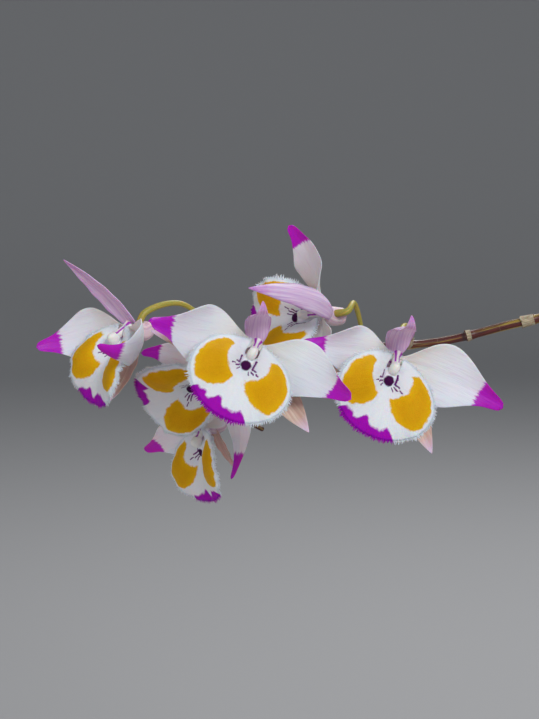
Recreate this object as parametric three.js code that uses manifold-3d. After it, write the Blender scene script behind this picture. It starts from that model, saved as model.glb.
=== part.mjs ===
// A potted Dendrobium devonianum in bloom, in millimetres, +Z up, with its origin at the middle of the pot's
// base. One leafless cane rises from the bark, arches over to -X and carries six flowers near its end. Two
// older canes and two leafy new growths stand beside it. The flowers look towards -Y.
import * as THREE from "three";
import { mergeVertices } from "three/addons/utils/BufferGeometryUtils.js";
import Module from "manifold-3d";

const wasm = await Module();
wasm.setup();

// The clay pot
const POT_HEIGHT = 88;
const POT_BASE_RADIUS = 37;
const POT_TOP_RADIUS = 48;
const POT_RIM_RADIUS = 53;
const POT_RIM_HEIGHT = 19;
const POT_WALL = 4.5;
const POT_FLOOR = 6;
const DRAIN_RADIUS = 5;
const DRAIN_CIRCLE_RADIUS = 20;

// The bark that fills it
const BARK_TOP = 76;
const BARK_GAP = 0.4;
const CHIP_COUNT = 38;
const CHIP_LENGTH = 12;

// Stems
const CANE_FOOT = 60;
const CANE_RADIUS = 1.9;
const CANE_TIP_RADIUS = 0.8;
const INTERNODE = 27;
const OLD_CANE_RADIUS = 2.1;
const SHOOT_RADIUS = 2.2;
const CLEARANCE = 0.35;

// A flower's parts
const SEPAL_LENGTH = 30;
const SEPAL_HALF_WIDTH = 4.6;
const PETAL_LENGTH = 33;
const PETAL_HALF_WIDTH = 8.8;
const BLADE_THICKNESS = 0.7;
const LIP_HALF_WIDTH = 15.5;
const LIP_HALF_HEIGHT = 12.4;
const LIP_CENTRE_DROP = 12.2;
const LIP_THROAT_DROP = 5.4;
const LIP_MOUTH_DEPTH = 11.5;
const LIP_TEETH = 17;
const TOOTH_LENGTH = 0.9;

// The spray's middle, from which the flowers' places are measured
const SPRAY = new THREE.Vector3(-150, -8, 250);

const FINISH = {
  clay: { color: 0xb06a48, roughness: 0.9, metalness: 0 },
  bark: { color: 0x5c3b25, roughness: 0.95, metalness: 0 },
  cane: { color: 0x5a2418, roughness: 0.45, metalness: 0 },
  dryCane: { color: 0xa08a63, roughness: 0.8, metalness: 0 },
  leaf: { color: 0x5f8a35, roughness: 0.5, metalness: 0 },
  sepal: { color: 0xd9bedb, roughness: 0.5, metalness: 0 },
  petal: { color: 0xeeedf0, roughness: 0.5, metalness: 0 },
  lip: { color: 0xf0e7c8, roughness: 0.7, metalness: 0 },
  pedicel: { color: 0xb5a24a, roughness: 0.5, metalness: 0 },
};

const radians = THREE.MathUtils.degToRad;
const lerp = THREE.MathUtils.lerp;

// A seeded draw from 0 to 1, the same on every run.
function drawFrom(seed) {
  let state = seed;
  return () => {
    state = (state * 1664525 + 1013904223) % 4294967296;
    return state / 4294967296;
  };
}

// Solids

// A closed geometry as a manifold-3d solid, turned outside out if its faces point in.
function solidOf(geometry) {
  const bare = new THREE.BufferGeometry().setAttribute(
    "position",
    geometry.getAttribute("position").clone(),
  );
  if (geometry.index) bare.setIndex(geometry.index.clone());
  const merged = mergeVertices(bare, 1e-4);
  const source = merged.index.array;
  const corners = [];
  for (let i = 0; i < source.length; i += 3) {
    const [a, b, c] = [source[i], source[i + 1], source[i + 2]];
    if (a !== b && b !== c && c !== a) corners.push(a, b, c);
  }
  const make = (triangles) =>
    new wasm.Manifold(
      new wasm.Mesh({
        numProp: 3,
        vertProperties: merged.attributes.position.array,
        triVerts: new Uint32Array(triangles),
      }),
    );
  const made = make(corners);
  return made.volume() > 0 ? made : make(corners.reverse());
}

// A cut can free a crumb; only the main piece is kept.
const largestPiece = (solid) => solid.decompose().reduce((a, b) => (a.volume() > b.volume() ? a : b));

const join = (...solids) => solids.reduce((whole, next) => whole.add(next));

function meshOf(name, solid, finish) {
  const data = solid.getMesh();
  const positions = new Float32Array(data.numVert * 3);
  for (let i = 0; i < data.numVert; i++) {
    positions.set(data.vertProperties.subarray(i * data.numProp, i * data.numProp + 3), i * 3);
  }
  const geometry = new THREE.BufferGeometry()
    .setAttribute("position", new THREE.BufferAttribute(positions, 3))
    .setIndex(new THREE.BufferAttribute(data.triVerts, 1));
  geometry.computeVertexNormals();
  const mesh = new THREE.Mesh(geometry, new THREE.MeshStandardMaterial(FINISH[finish]));
  mesh.name = name;
  return mesh;
}

// A sheet of even thickness about the surface that pointAt(row, column) gives. Both faces are split alike.
function sheet(pointAt, rows, columns, thickness = BLADE_THICKNESS) {
  const middle = [];
  for (let r = 0; r <= rows; r++) {
    for (let c = 0; c <= columns; c++) middle.push(pointAt(r, c));
  }
  const at = (r, c) => middle[r * (columns + 1) + c];
  const positions = [];
  for (const side of [0.5, -0.5]) {
    for (let r = 0; r <= rows; r++) {
      for (let c = 0; c <= columns; c++) {
        const along = at(Math.min(r + 1, rows), c).clone().sub(at(Math.max(r - 1, 0), c));
        const across = at(r, Math.min(c + 1, columns)).clone().sub(at(r, Math.max(c - 1, 0)));
        const normal = across.cross(along).normalize();
        const point = at(r, c).clone().addScaledVector(normal, side * thickness);
        positions.push(point.x, point.y, point.z);
      }
    }
  }
  const back = (rows + 1) * (columns + 1);
  const faces = [];
  const quad = (a, b, c, d) => faces.push(a, b, c, a, c, d);
  for (let r = 0; r < rows; r++) {
    for (let c = 0; c < columns; c++) {
      const corner = r * (columns + 1) + c;
      const [a, b, d, e] = [corner, corner + 1, corner + columns + 2, corner + columns + 1];
      quad(a, b, d, e);
      faces.push(back + a, back + d, back + b, back + a, back + e, back + d);
    }
  }
  const rim = [];
  for (let c = 0; c < columns; c++) rim.push(c);
  for (let r = 0; r < rows; r++) rim.push(r * (columns + 1) + columns);
  for (let c = columns; c > 0; c--) rim.push(rows * (columns + 1) + c);
  for (let r = rows; r > 0; r--) rim.push(r * (columns + 1));
  rim.forEach((a, i) => {
    const b = rim[(i + 1) % rim.length];
    quad(a, back + a, back + b, b);
  });
  const geometry = new THREE.BufferGeometry();
  geometry.setAttribute("position", new THREE.Float32BufferAttribute(positions, 3));
  geometry.setIndex(faces);
  return solidOf(geometry);
}

// A round stalk along a curve, with its radius given by radiusAt(share of the length).
function stalk(curve, radiusAt, sides, steps) {
  const frames = curve.computeFrenetFrames(steps);
  const positions = [];
  for (let i = 0; i <= steps; i++) {
    const centre = curve.getPointAt(i / steps);
    const radius = radiusAt(i / steps);
    for (let j = 0; j < sides; j++) {
      const angle = (2 * Math.PI * j) / sides;
      const point = centre
        .clone()
        .addScaledVector(frames.normals[i], radius * Math.cos(angle))
        .addScaledVector(frames.binormals[i], radius * Math.sin(angle));
      positions.push(point.x, point.y, point.z);
    }
  }
  const [foot, tip] = [curve.getPointAt(0), curve.getPointAt(1)];
  positions.push(foot.x, foot.y, foot.z, tip.x, tip.y, tip.z);
  const footIndex = (steps + 1) * sides;
  const faces = [];
  for (let j = 0; j < sides; j++) {
    const next = (j + 1) % sides;
    for (let i = 0; i < steps; i++) {
      const [a, b, c, d] = [i * sides + j, i * sides + next, (i + 1) * sides + next, (i + 1) * sides + j];
      faces.push(a, b, c, a, c, d);
    }
    faces.push(footIndex, next, j);
    faces.push(footIndex + 1, steps * sides + j, steps * sides + next);
  }
  const geometry = new THREE.BufferGeometry();
  geometry.setAttribute("position", new THREE.Float32BufferAttribute(positions, 3));
  geometry.setIndex(faces);
  return solidOf(geometry);
}

const curveThrough = (points) =>
  new THREE.CatmullRomCurve3(points.map((p) => (p.isVector3 ? p : new THREE.Vector3(...p))));

// The pot

function potSolid() {
  const rimFoot = POT_HEIGHT - POT_RIM_HEIGHT;
  const profile = [
    [0, 0],
    [POT_BASE_RADIUS - 1, 0],
    [POT_BASE_RADIUS, 1.5],
    [POT_TOP_RADIUS, rimFoot - 1],
    [POT_RIM_RADIUS - 0.8, rimFoot],
    [POT_RIM_RADIUS, rimFoot + 2],
    [POT_RIM_RADIUS, POT_HEIGHT - 1.5],
    [POT_RIM_RADIUS - 1.5, POT_HEIGHT],
    [POT_TOP_RADIUS - 1, POT_HEIGHT],
    [POT_TOP_RADIUS - 2, POT_HEIGHT - 2],
    [POT_BASE_RADIUS - POT_WALL, POT_FLOOR],
    [0, POT_FLOOR],
  ].map(([radius, height]) => new THREE.Vector2(radius, height));
  const body = new THREE.LatheGeometry(profile, 32);
  let pot = solidOf(body.rotateX(Math.PI / 2));
  for (let i = 0; i < 4; i++) {
    const angle = Math.PI / 4 + (i * Math.PI) / 2;
    const hole = new THREE.CylinderGeometry(DRAIN_RADIUS, DRAIN_RADIUS, 4 * POT_FLOOR, 12);
    hole.rotateX(Math.PI / 2);
    hole.translate(DRAIN_CIRCLE_RADIUS * Math.cos(angle), DRAIN_CIRCLE_RADIUS * Math.sin(angle), 0);
    pot = pot.subtract(solidOf(hole));
  }
  return pot;
}

// Inner radius of the pot at a height above its floor
const potInside = (height) =>
  lerp(POT_BASE_RADIUS - POT_WALL, POT_TOP_RADIUS - 2, (height - POT_FLOOR) / (POT_HEIGHT - 2 - POT_FLOOR));

// Bark, as one plug whose top is covered with chips. The stems' feet stand in holes that are a little wider.
function barkSolid(feet) {
  const profile = [
    [0, POT_FLOOR + BARK_GAP],
    [potInside(POT_FLOOR + BARK_GAP) - BARK_GAP, POT_FLOOR + BARK_GAP],
    [potInside(BARK_TOP - 3) - BARK_GAP, BARK_TOP - 3],
    [0, BARK_TOP],
  ].map(([radius, height]) => new THREE.Vector2(radius, height));
  let bark = solidOf(new THREE.LatheGeometry(profile, 32).rotateX(Math.PI / 2));
  const draw = drawFrom(41);
  const outermost = potInside(BARK_TOP) - CHIP_LENGTH * 0.62;
  for (let i = 0; i < CHIP_COUNT; i++) {
    const radius = outermost * Math.sqrt((i + 0.5) / CHIP_COUNT);
    const angle = i * 2.39996;
    const size = CHIP_LENGTH * (0.7 + 0.45 * draw());
    const chip = new THREE.BoxGeometry(size, size * (0.55 + 0.25 * draw()), size * 0.42);
    chip.rotateX(0.7 * (draw() - 0.5)).rotateY(0.7 * (draw() - 0.5)).rotateZ(Math.PI * draw());
    const height = BARK_TOP - 1.6 + 2.4 * draw() - (2 * radius) / outermost;
    chip.translate(radius * Math.cos(angle), radius * Math.sin(angle), height);
    bark = bark.add(solidOf(chip));
  }
  for (const foot of feet) bark = bark.subtract(foot);
  return largestPiece(bark);
}

// Canes

// A cane's radius swells at each node, and wears a papery sheath above it that ends short of the next node.
function caneRadius(curve, thick, thin) {
  const joints = Math.round(curve.getLength() / INTERNODE);
  return (share) => {
    const along = share * joints;
    const inside = along - Math.floor(along);
    const fromNode = Math.min(inside, 1 - inside);
    const stem = lerp(thick, thin, share * share);
    const knuckle = 0.28 * Math.max(0, 1 - fromNode / 0.14);
    const sheath = inside > 0.12 && inside < 0.62 ? 0.22 : 0;
    return stem + knuckle + sheath;
  };
}

function cane(curve, thick, thin, sides = 8) {
  const joints = Math.round(curve.getLength() / INTERNODE);
  return stalk(curve, caneRadius(curve, thick, thin), sides, joints * 4);
}

// A wider, plain version of a stem's lowest stretch, for cutting its hole in the bark.
function footHole(curve, radius) {
  const length = curve.getLength();
  const stretch = [0, 8, 16, 24, 32].map((mm) => curve.getPointAt(mm / length));
  stretch[0].z = CANE_FOOT - 1;
  return stalk(curveThrough(stretch), () => radius, 10, 6);
}

const sprayPoint = (x, y, z) => new THREE.Vector3(x, y, z).add(SPRAY);

// The flowering cane rises, arches over and runs down to -X, and its soft end hooks round under the flowers.
const FLOWERING_CANE = curveThrough([
  [2, 4, CANE_FOOT],
  [4, 5, 105],
  [3, 6, 150],
  [-5, 7, 200],
  [-24, 7, 243],
  sprayPoint(104, 17, 12.5),
  sprayPoint(81.5, 19, 8.6),
  sprayPoint(54.5, 20, 2),
  sprayPoint(30, 21, 0),
  sprayPoint(8, 21, -1),
  sprayPoint(-8, 23, -3),
  sprayPoint(-17, 26, -9),
  sprayPoint(-18, 28, -17),
  sprayPoint(-11.5, 29, -23),
  sprayPoint(-2.4, 29, -28),
]);

const OLD_CANE_RIGHT = curveThrough([
  [17, -6, CANE_FOOT],
  [22, -8, 105],
  [36, -12, 150],
  [62, -17, 182],
  [92, -22, 190],
  [116, -26, 178],
]);

const OLD_CANE_BACK = curveThrough([
  [6, 19, CANE_FOOT],
  [8, 25, 105],
  [7, 40, 148],
  [2, 64, 176],
  [-6, 90, 180],
  [-12, 108, 168],
]);

// New growths

// A strap-shaped leaf, folded along its midrib and arching down, from a point on its stem.
function leafSolid(foot, heading, length, halfWidth, droop) {
  const outward = new THREE.Vector3(Math.cos(heading), Math.sin(heading), 0);
  const sideways = new THREE.Vector3(-Math.sin(heading), Math.cos(heading), 0);
  const rows = 6;
  const rise = radians(62);
  const midrib = [foot.clone()];
  for (let i = 0; i < rows; i++) {
    const angle = rise - droop * ((i + 0.5) / rows);
    const step = outward.clone().multiplyScalar(Math.cos(angle)).setZ(Math.sin(angle));
    midrib.push(midrib[i].clone().addScaledVector(step, length / rows));
  }
  return sheet(
    (r, c) => {
      const t = r / rows;
      const u = c - 1;
      const width = halfWidth * (0.3 * (1 - t) ** 2 + 1.75 * t ** 0.45 * (1 - t) ** 0.8) + 0.25;
      const angle = rise - droop * t;
      const up = outward.clone().multiplyScalar(-Math.sin(angle)).setZ(Math.cos(angle));
      return midrib[r]
        .clone()
        .addScaledVector(sideways, u * width)
        .addScaledVector(up, 0.42 * Math.abs(u) * width);
    },
    rows,
    2,
  );
}

function shootSolid(curve, leaves, length, heading) {
  const parts = [stalk(curve, (share) => lerp(SHOOT_RADIUS, 1.1, share), 8, 8)];
  for (let i = 0; i < leaves; i++) {
    const share = lerp(0.34, 0.97, i / (leaves - 1));
    const side = heading + (i % 2) * Math.PI + 0.18 * i;
    const size = length * (0.72 + 0.28 * Math.sin((Math.PI * (i + 1)) / leaves));
    const droop = radians(lerp(78, 26, share));
    parts.push(leafSolid(curve.getPointAt(share), side, size, length * 0.12, droop));
  }
  return join(...parts);
}

const TALL_SHOOT = curveThrough([
  [-22, 0, CANE_FOOT],
  [-24, -1, 90],
  [-27, -1, 118],
  [-29, 0, 140],
]);

const SMALL_SHOOT = curveThrough([
  [12, -20, CANE_FOOT],
  [13.5, -21.5, 84],
  [15, -24, 104],
]);

// Flowers. In a flower's own frame +X is to the right, +Z up and -Y the way that it looks.

// Half the width of a tepal at a share t of its length: a narrow base and one hump that ends in a point.
function tepalHalfWidth(form, t) {
  const { halfWidth, base, rise, fall, tail } = form;
  const peak = rise ** rise * fall ** fall / (rise + fall) ** (rise + fall);
  const hump = (t ** rise * (1 - t) ** fall) / peak;
  return halfWidth * (base * (1 - t) ** 2 + hump + tail * t ** 4 * (1 - t) ** 0.5) + 0.2;
}

const SEPAL = {
  length: SEPAL_LENGTH,
  halfWidth: SEPAL_HALF_WIDTH,
  base: 0.3,
  rise: 0.6,
  fall: 0.95,
  tail: 0,
  rows: 7,
  columns: 2,
};
const PETAL = {
  length: PETAL_LENGTH,
  halfWidth: PETAL_HALF_WIDTH,
  base: 0.1,
  rise: 1.7,
  fall: 2.6,
  tail: 1,
  rows: 7,
  columns: 4,
};

// One tepal. Its midrib leaves the foot at az degrees clockwise from the top, leans forward by lean, and on its
// way bends forward by curl, more of it near the foot if bend is below 1, by hook close to its tip, and
// round the face by sweep. The blade is turned about its midrib by turn and twisted on its way by twist.
// Its sides bend forward by cup, and its edges wave.
function tepal(form, foot, pose) {
  const { az, lean = 10, curl = 0, bend = 1, hook = 0, sweep = 0, turn = 0, twist = 0 } = pose;
  const { cup = 0.5, wave = 0, waves = 1.5, phase = 0, size = 1, broad = 1 } = pose;
  const { rows, columns } = form;
  const radial = (angle) => new THREE.Vector3(Math.sin(angle), 0, Math.cos(angle));
  const leaning = (t) => radians(lean + curl * t ** bend + hook * t ** 6);
  const direction = (t) => {
    const forward = leaning(t);
    return radial(radians(az + sweep * t)).multiplyScalar(Math.cos(forward)).setY(-Math.sin(forward));
  };
  const midrib = [new THREE.Vector3(...foot)];
  for (let i = 0; i < rows; i++) {
    midrib.push(midrib[i].clone().addScaledVector(direction((i + 0.5) / rows), (size * form.length) / rows));
  }
  return sheet(
    (r, c) => {
      const t = r / rows;
      const u = (2 * c) / columns - 1;
      const angle = radians(az + sweep * t);
      const forward = leaning(t);
      const spin = radians(turn + twist * t);
      const flat = new THREE.Vector3(Math.cos(angle), 0, -Math.sin(angle));
      const front = radial(angle).multiplyScalar(-Math.sin(forward)).setY(-Math.cos(forward));
      const across = flat.clone().multiplyScalar(Math.cos(spin)).addScaledVector(front, Math.sin(spin));
      const out = front.clone().multiplyScalar(Math.cos(spin)).addScaledVector(flat, -Math.sin(spin));
      const width = size * broad * tepalHalfWidth(form, t);
      const ripple = wave * u * u * Math.sin(2 * Math.PI * (waves * t + phase + (u > 0 ? 0.37 : 0)));
      return midrib[r]
        .clone()
        .addScaledVector(across, (width * Math.sin(cup * u)) / cup)
        .addScaledVector(out, (width * (1 - Math.cos(cup * u))) / cup + ripple);
    },
    rows,
    columns,
  );
}

// A point of the lip, a trumpet with a wide round mouth: s runs from the claw to the margin, and f from -1 to 1
// round the mouth, with 0 at its lowest point. The trumpet is open along its top, under the column.
function lipPoint(s, f, mouthWidth) {
  const opening = radians(lerp(118, 173, s));
  const round = f * opening;
  const [side, down] = [Math.sin(round), Math.cos(round)];
  const mouth = new THREE.Vector3(
    LIP_HALF_WIDTH * mouthWidth * side,
    -(LIP_MOUTH_DEPTH * (1 + down)) / 2 - 1.4 * (1 - down) - 5.5 * side * side,
    -LIP_CENTRE_DROP - LIP_HALF_HEIGHT * down,
  );
  const claw = new THREE.Vector3(1.3 * side, 0.4, -LIP_THROAT_DROP - 1.3 * down);
  const spread = s ** 1.55;
  const reach = 1 - (1 - s) ** 2;
  return new THREE.Vector3(
    lerp(claw.x, mouth.x, spread),
    lerp(claw.y, mouth.y, reach) + 1.1 * s ** 6,
    lerp(claw.z, mouth.z, spread),
  );
}

function lipSolid(mouthWidth = 1) {
  const rows = 4;
  const columns = 2 * LIP_TEETH;
  return sheet(
    (r, c) => {
      const tooth = r === rows && c % 2 === 1 ? TOOTH_LENGTH / LIP_HALF_WIDTH : 0;
      return lipPoint(r / rows + tooth, (2 * c) / columns - 1, mouthWidth);
    },
    rows,
    columns,
  );
}

// The short column with its cap, in front of the petals' feet and above the lip's throat.
function columnSolid() {
  const spine = curveThrough([[0, 0.1, -0.3], [0, -0.9, -0.6], [0, -2.6, -1.6], [0, -4.6, -3], [0, -5.8, -4]]);
  const cap = (share) => Math.max(0, share - 0.6) * (share > 0.9 ? 0.4 : 1.6);
  const swell = (share) => 1.2 + Math.max(0, 0.2 - share) * 4.5 + cap(share);
  return stalk(spine, swell, 7, 6);
}

// The chin behind the sepals' feet, which the two lower sepals and the column's foot make together.
function chinSolid() {
  const spine = curveThrough([[0, 1.9, -0.9], [0, 3.6, -1.7], [0, 6, -2.2], [0, 8.4, -1.2]]);
  const swell = (share) => 2.6 + 0.5 * Math.sin(Math.PI * share) + 0.2 * share ** 2;
  return stalk(spine, swell, 8, 5);
}

// Each flower hangs at its place in the spray and is turned about Z by yaw, then X by pitch, then Y by roll.
// "at" is the share of the cane's length where its stalk leaves.
const FLOWERS = [
  {
    place: [38.1, -10, 1.2], yaw: 8, pitch: -4, roll: 27, at: 0.752,
    top: { az: -22, lean: 4, curl: 165, hook: -235, size: 0.88, broad: 0.92 },
    sides: [{ az: 130, lean: -10, curl: 16, cup: 0.5 }, { az: -127, lean: -42, curl: -30 }],
    petals: [
      { az: 81, lean: -7, curl: 20, sweep: 16, wave: 0.8, size: 1.07 },
      { az: -108, lean: -1, curl: 16, wave: 2.2, size: 0.86 },
    ],
  },
  {
    place: [-4, -18, 5.9], yaw: 7, pitch: -13, roll: 30, at: 0.878, lift: -3, arch: -10,
    top: { az: -28, lean: 4, curl: 172, hook: -235, size: 0.82, broad: 0.93 },
    sides: [{ az: 120, lean: 4, curl: 34, cup: 0.5 }, { az: -108, lean: 0, size: 0.97 }],
    petals: [
      { az: 91, lean: 0, curl: 60, sweep: 8, wave: 0.8, size: 1.07, broad: 0.92 },
      { az: -114, lean: -4, curl: 54, sweep: 8, wave: 1.5, size: 1.06 },
    ],
  },
  {
    place: [16.6, 5, 12.8], yaw: -58, pitch: -8, roll: 70, at: 0.793, size: 0.97, mouth: 0.88,
    top: { az: -8, lean: 6, curl: 93, bend: 0.4, cup: 0.8, size: 1.42, broad: 0.68 },
    sides: [{ az: 195, lean: -10, size: 0.85 }, { az: -150, lean: 8, curl: 20 }],
    petals: [
      { az: 82, lean: 0, curl: 56 },
      { az: -80, lean: 1, curl: 52, turn: 52, twist: -106, size: 0.9, broad: 0.95 },
    ],
  },
  {
    place: [-43.4, 0, 9.1], yaw: -50, pitch: 0, roll: 8, at: 0.905, size: 0.95, mouth: 0.84,
    top: { az: -36, lean: 26, curl: 26, cup: 0.9, size: 1.04, broad: 0.75 },
    sides: [{ az: 172, lean: 4, curl: 50, size: 0.84 }, { az: -166, lean: -22, curl: 78 }],
    petals: [
      { az: 94, lean: -7, curl: 157, bend: 1.3, sweep: 26, broad: 0.88 },
      { az: -114, lean: 0, curl: 74, sweep: -4 },
    ],
  },
  {
    place: [-16, 3, -7.2], yaw: -28, pitch: 32, roll: 84, at: 0.93, size: 0.95, mouth: 0.92,
    top: { az: -25, lean: -12, curl: 20, size: 0.6 },
    sides: [{ az: 175, lean: -10, size: 0.75 }, { az: -160, lean: -30, size: 0.8 }],
    petals: [
      { az: 77, lean: -12, curl: 52, sweep: 44, turn: 44, size: 1.16, broad: 0.4 },
      { az: -124, lean: -4, curl: 62, turn: -8, twist: -40, size: 0.86, broad: 0.84 },
    ],
  },
  {
    place: [-20.8, 14, -24.4], yaw: -52, pitch: 22, roll: -12, at: 0.957, size: 0.88, mouth: 1.02,
    top: { az: -20, lean: 4, curl: 36, size: 0.78 },
    sides: [{ az: 200, lean: -12, size: 0.7 }, { az: -100, lean: -10, curl: 30 }],
    petals: [
      { az: 62, lean: -48, size: 0.5 },
      { az: -97, lean: 2, curl: 16, turn: 16, size: 1.12, broad: 0.8 },
    ],
  },
];

function flower(name, spec) {
  const group = new THREE.Group();
  group.position.copy(sprayPoint(...spec.place));
  group.rotation.set(radians(spec.pitch), radians(spec.roll), radians(spec.yaw), "ZXY");
  group.scale.setScalar(spec.size ?? 1);
  group.updateMatrix();
  const toFlower = group.matrix.clone().invert();

  const tangent = FLOWERING_CANE.getTangentAt(spec.at);
  const caneCentre = FLOWERING_CANE.getPointAt(spec.at);
  const neck = new THREE.Vector3(0, 6.4, 4.2).applyMatrix4(group.matrix);
  const away = neck.clone().sub(caneCentre);
  away.addScaledVector(tangent, -away.dot(tangent)).setZ(away.z + 4).normalize();
  const radiusHere = caneRadius(FLOWERING_CANE, CANE_RADIUS, CANE_TIP_RADIUS)(spec.at);
  const foot = caneCentre.clone().addScaledVector(away, radiusHere + CLEARANCE + 0.3);
  const rise = foot.clone().addScaledVector(away, 4).setZ(foot.z + (spec.lift ?? 5));
  const arch = rise.clone().lerp(neck, 0.55).setZ(Math.max(rise.z, neck.z) + (spec.arch ?? 2));
  const path = [foot, rise, arch, neck, new THREE.Vector3(0, 4.4, 1).applyMatrix4(group.matrix)];
  const stalkPath = curveThrough(path.map((p) => p.clone().applyMatrix4(toFlower)));
  const stalkRadius = (share) => lerp(0.75, 1.25, share * share);
  const pedicel = stalk(stalkPath, stalkRadius, 7, 8);
  const pedicelRoom = stalk(stalkPath, (share) => stalkRadius(share) + CLEARANCE, 7, 8);

  const sepals = join(
    chinSolid(),
    tepal(SEPAL, [0, 2.6, 0.6], spec.top),
    tepal(SEPAL, [1.4, 2.8, -2.2], spec.sides[0]),
    tepal(SEPAL, [-1.4, 2.8, -2.2], spec.sides[1]),
  ).subtract(pedicelRoom);
  const petals = join(
    columnSolid(),
    tepal(PETAL, [1.2, -0.7, -0.2], spec.petals[0]),
    tepal(PETAL, [-1.2, -0.7, -0.2], spec.petals[1]),
  );
  group.add(meshOf(name + "_sepals", sepals, "sepal"));
  group.add(meshOf(name + "_petals", petals, "petal"));
  group.add(meshOf(name + "_lip", lipSolid(spec.mouth), "lip"));
  group.add(meshOf(name + "_pedicel", pedicel, "pedicel"));
  return group;
}

// The whole plant

const plant = new THREE.Group();
plant.add(meshOf("pot", potSolid(), "clay"));
plant.add(
  meshOf(
    "bark",
    barkSolid([
      footHole(FLOWERING_CANE, CANE_RADIUS + 1.1),
      footHole(OLD_CANE_RIGHT, OLD_CANE_RADIUS + 1.1),
      footHole(OLD_CANE_BACK, OLD_CANE_RADIUS + 1.1),
      footHole(TALL_SHOOT, SHOOT_RADIUS + 0.6),
      footHole(SMALL_SHOOT, SHOOT_RADIUS + 0.8),
    ]),
    "bark",
  ),
);
plant.add(meshOf("flowering_cane", cane(FLOWERING_CANE, CANE_RADIUS, CANE_TIP_RADIUS), "cane"));
plant.add(meshOf("old_cane_right", cane(OLD_CANE_RIGHT, OLD_CANE_RADIUS, 1.1), "dryCane"));
plant.add(meshOf("old_cane_back", cane(OLD_CANE_BACK, OLD_CANE_RADIUS, 1.1), "dryCane"));
plant.add(meshOf("tall_shoot", shootSolid(TALL_SHOOT, 6, 58, 1.9), "leaf"));
plant.add(meshOf("small_shoot", shootSolid(SMALL_SHOOT, 4, 38, -0.45), "leaf"));
FLOWERS.forEach((spec, i) => plant.add(flower("flower_" + (i + 1), spec)));

export default plant;
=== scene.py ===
"""A potted Dendrobium devonianum in bloom, made piece by piece as the plant is put together: the studio it
stands in, the clay pot, the bark, the canes, the leafy new growths and the six flowers. Places are in metres,
in the frame of the CAD model, and a flower's own sizes are in millimetres."""

import math

import bpy
import numpy as np
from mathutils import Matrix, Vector


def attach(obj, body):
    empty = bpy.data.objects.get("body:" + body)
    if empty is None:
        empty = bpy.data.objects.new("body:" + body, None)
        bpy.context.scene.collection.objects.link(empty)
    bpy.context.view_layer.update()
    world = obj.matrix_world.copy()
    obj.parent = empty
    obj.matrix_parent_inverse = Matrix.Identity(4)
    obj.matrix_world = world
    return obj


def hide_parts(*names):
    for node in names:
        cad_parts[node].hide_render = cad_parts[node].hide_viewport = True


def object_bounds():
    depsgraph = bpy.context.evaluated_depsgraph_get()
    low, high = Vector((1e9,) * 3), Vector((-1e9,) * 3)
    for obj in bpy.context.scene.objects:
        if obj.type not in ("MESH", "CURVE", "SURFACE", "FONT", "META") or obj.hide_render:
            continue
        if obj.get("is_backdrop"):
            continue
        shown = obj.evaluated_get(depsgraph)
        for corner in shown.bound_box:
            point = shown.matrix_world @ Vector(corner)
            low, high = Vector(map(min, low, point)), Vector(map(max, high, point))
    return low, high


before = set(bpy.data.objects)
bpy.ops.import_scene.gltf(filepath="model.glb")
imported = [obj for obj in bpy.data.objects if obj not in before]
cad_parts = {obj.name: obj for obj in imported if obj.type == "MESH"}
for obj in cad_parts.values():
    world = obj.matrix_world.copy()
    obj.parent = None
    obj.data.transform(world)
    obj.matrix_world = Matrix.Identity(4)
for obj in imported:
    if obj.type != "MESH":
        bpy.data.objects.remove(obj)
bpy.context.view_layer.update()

# A pale floor that sweeps up into a backdrop, a soft light high on the right, a broad weaker one low on the
# left and one from behind. The camera looks at the spray from a little above, as the photograph does.

MM = 0.001
CAMERA_AIM = np.array([-0.150, -0.015, 0.250])
CAMERA_DISTANCE = 0.5145
CAMERA_RISE = math.radians(8)
FLOOR_COLOUR = (0.42, 0.42, 0.43, 1)


def grid_faces(rows, columns, closed=False):
    """The quads of a grid of rows x columns points, counted row by row, the last column joined to the first
    if closed."""
    corner = np.arange(rows * columns).reshape(rows, columns)
    if closed:
        corner = np.hstack([corner, corner[:, :1]])
    quads = [corner[:-1, :-1], corner[:-1, 1:], corner[1:, 1:], corner[1:, :-1]]
    return np.stack(quads, -1).reshape(-1, 4)


def mesh_object(name, points, faces, values=None, smooth=True):
    """A mesh object from an array of points in metres, a list of arrays of faces and named values, one a
    point."""
    mesh = bpy.data.meshes.new(name)
    rows = [face for array in faces for face in array.tolist()]
    mesh.from_pydata(points.reshape(-1, 3).tolist(), [], rows)
    for key, value in (values or {}).items():
        mesh.attributes.new(key, "FLOAT", "POINT").data.foreach_set("value", value.astype(np.float32))
    mesh.polygons.foreach_set("use_smooth", np.full(len(mesh.polygons), smooth))
    mesh.update()
    made = bpy.data.objects.new(name, mesh)
    bpy.context.scene.collection.objects.link(made)
    return made


def node(tree, kind, inputs=(), **settings):
    """A shader node with its settings and its inputs, each a number, a colour or another node's output."""
    made = tree.nodes.new("ShaderNode" + kind)
    for key, value in settings.items():
        setattr(made, key, value)
    for key, value in dict(inputs).items():
        if isinstance(value, bpy.types.NodeSocket):
            tree.links.new(value, made.inputs[key])
        else:
            made.inputs[key].default_value = value
    return made.outputs


def finish_named(name, roughness, **sockets):
    """A new material with a Principled shader, set on its own sockets. Gives the material, its tree and its
    shader."""
    material = bpy.data.materials.new(name)
    material.use_nodes = True
    shader = material.node_tree.nodes["Principled BSDF"]
    shader.inputs["Roughness"].default_value = roughness
    for key, value in sockets.items():
        shader.inputs[key.replace("_", " ")].default_value = value
    return material, material.node_tree, shader


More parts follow.
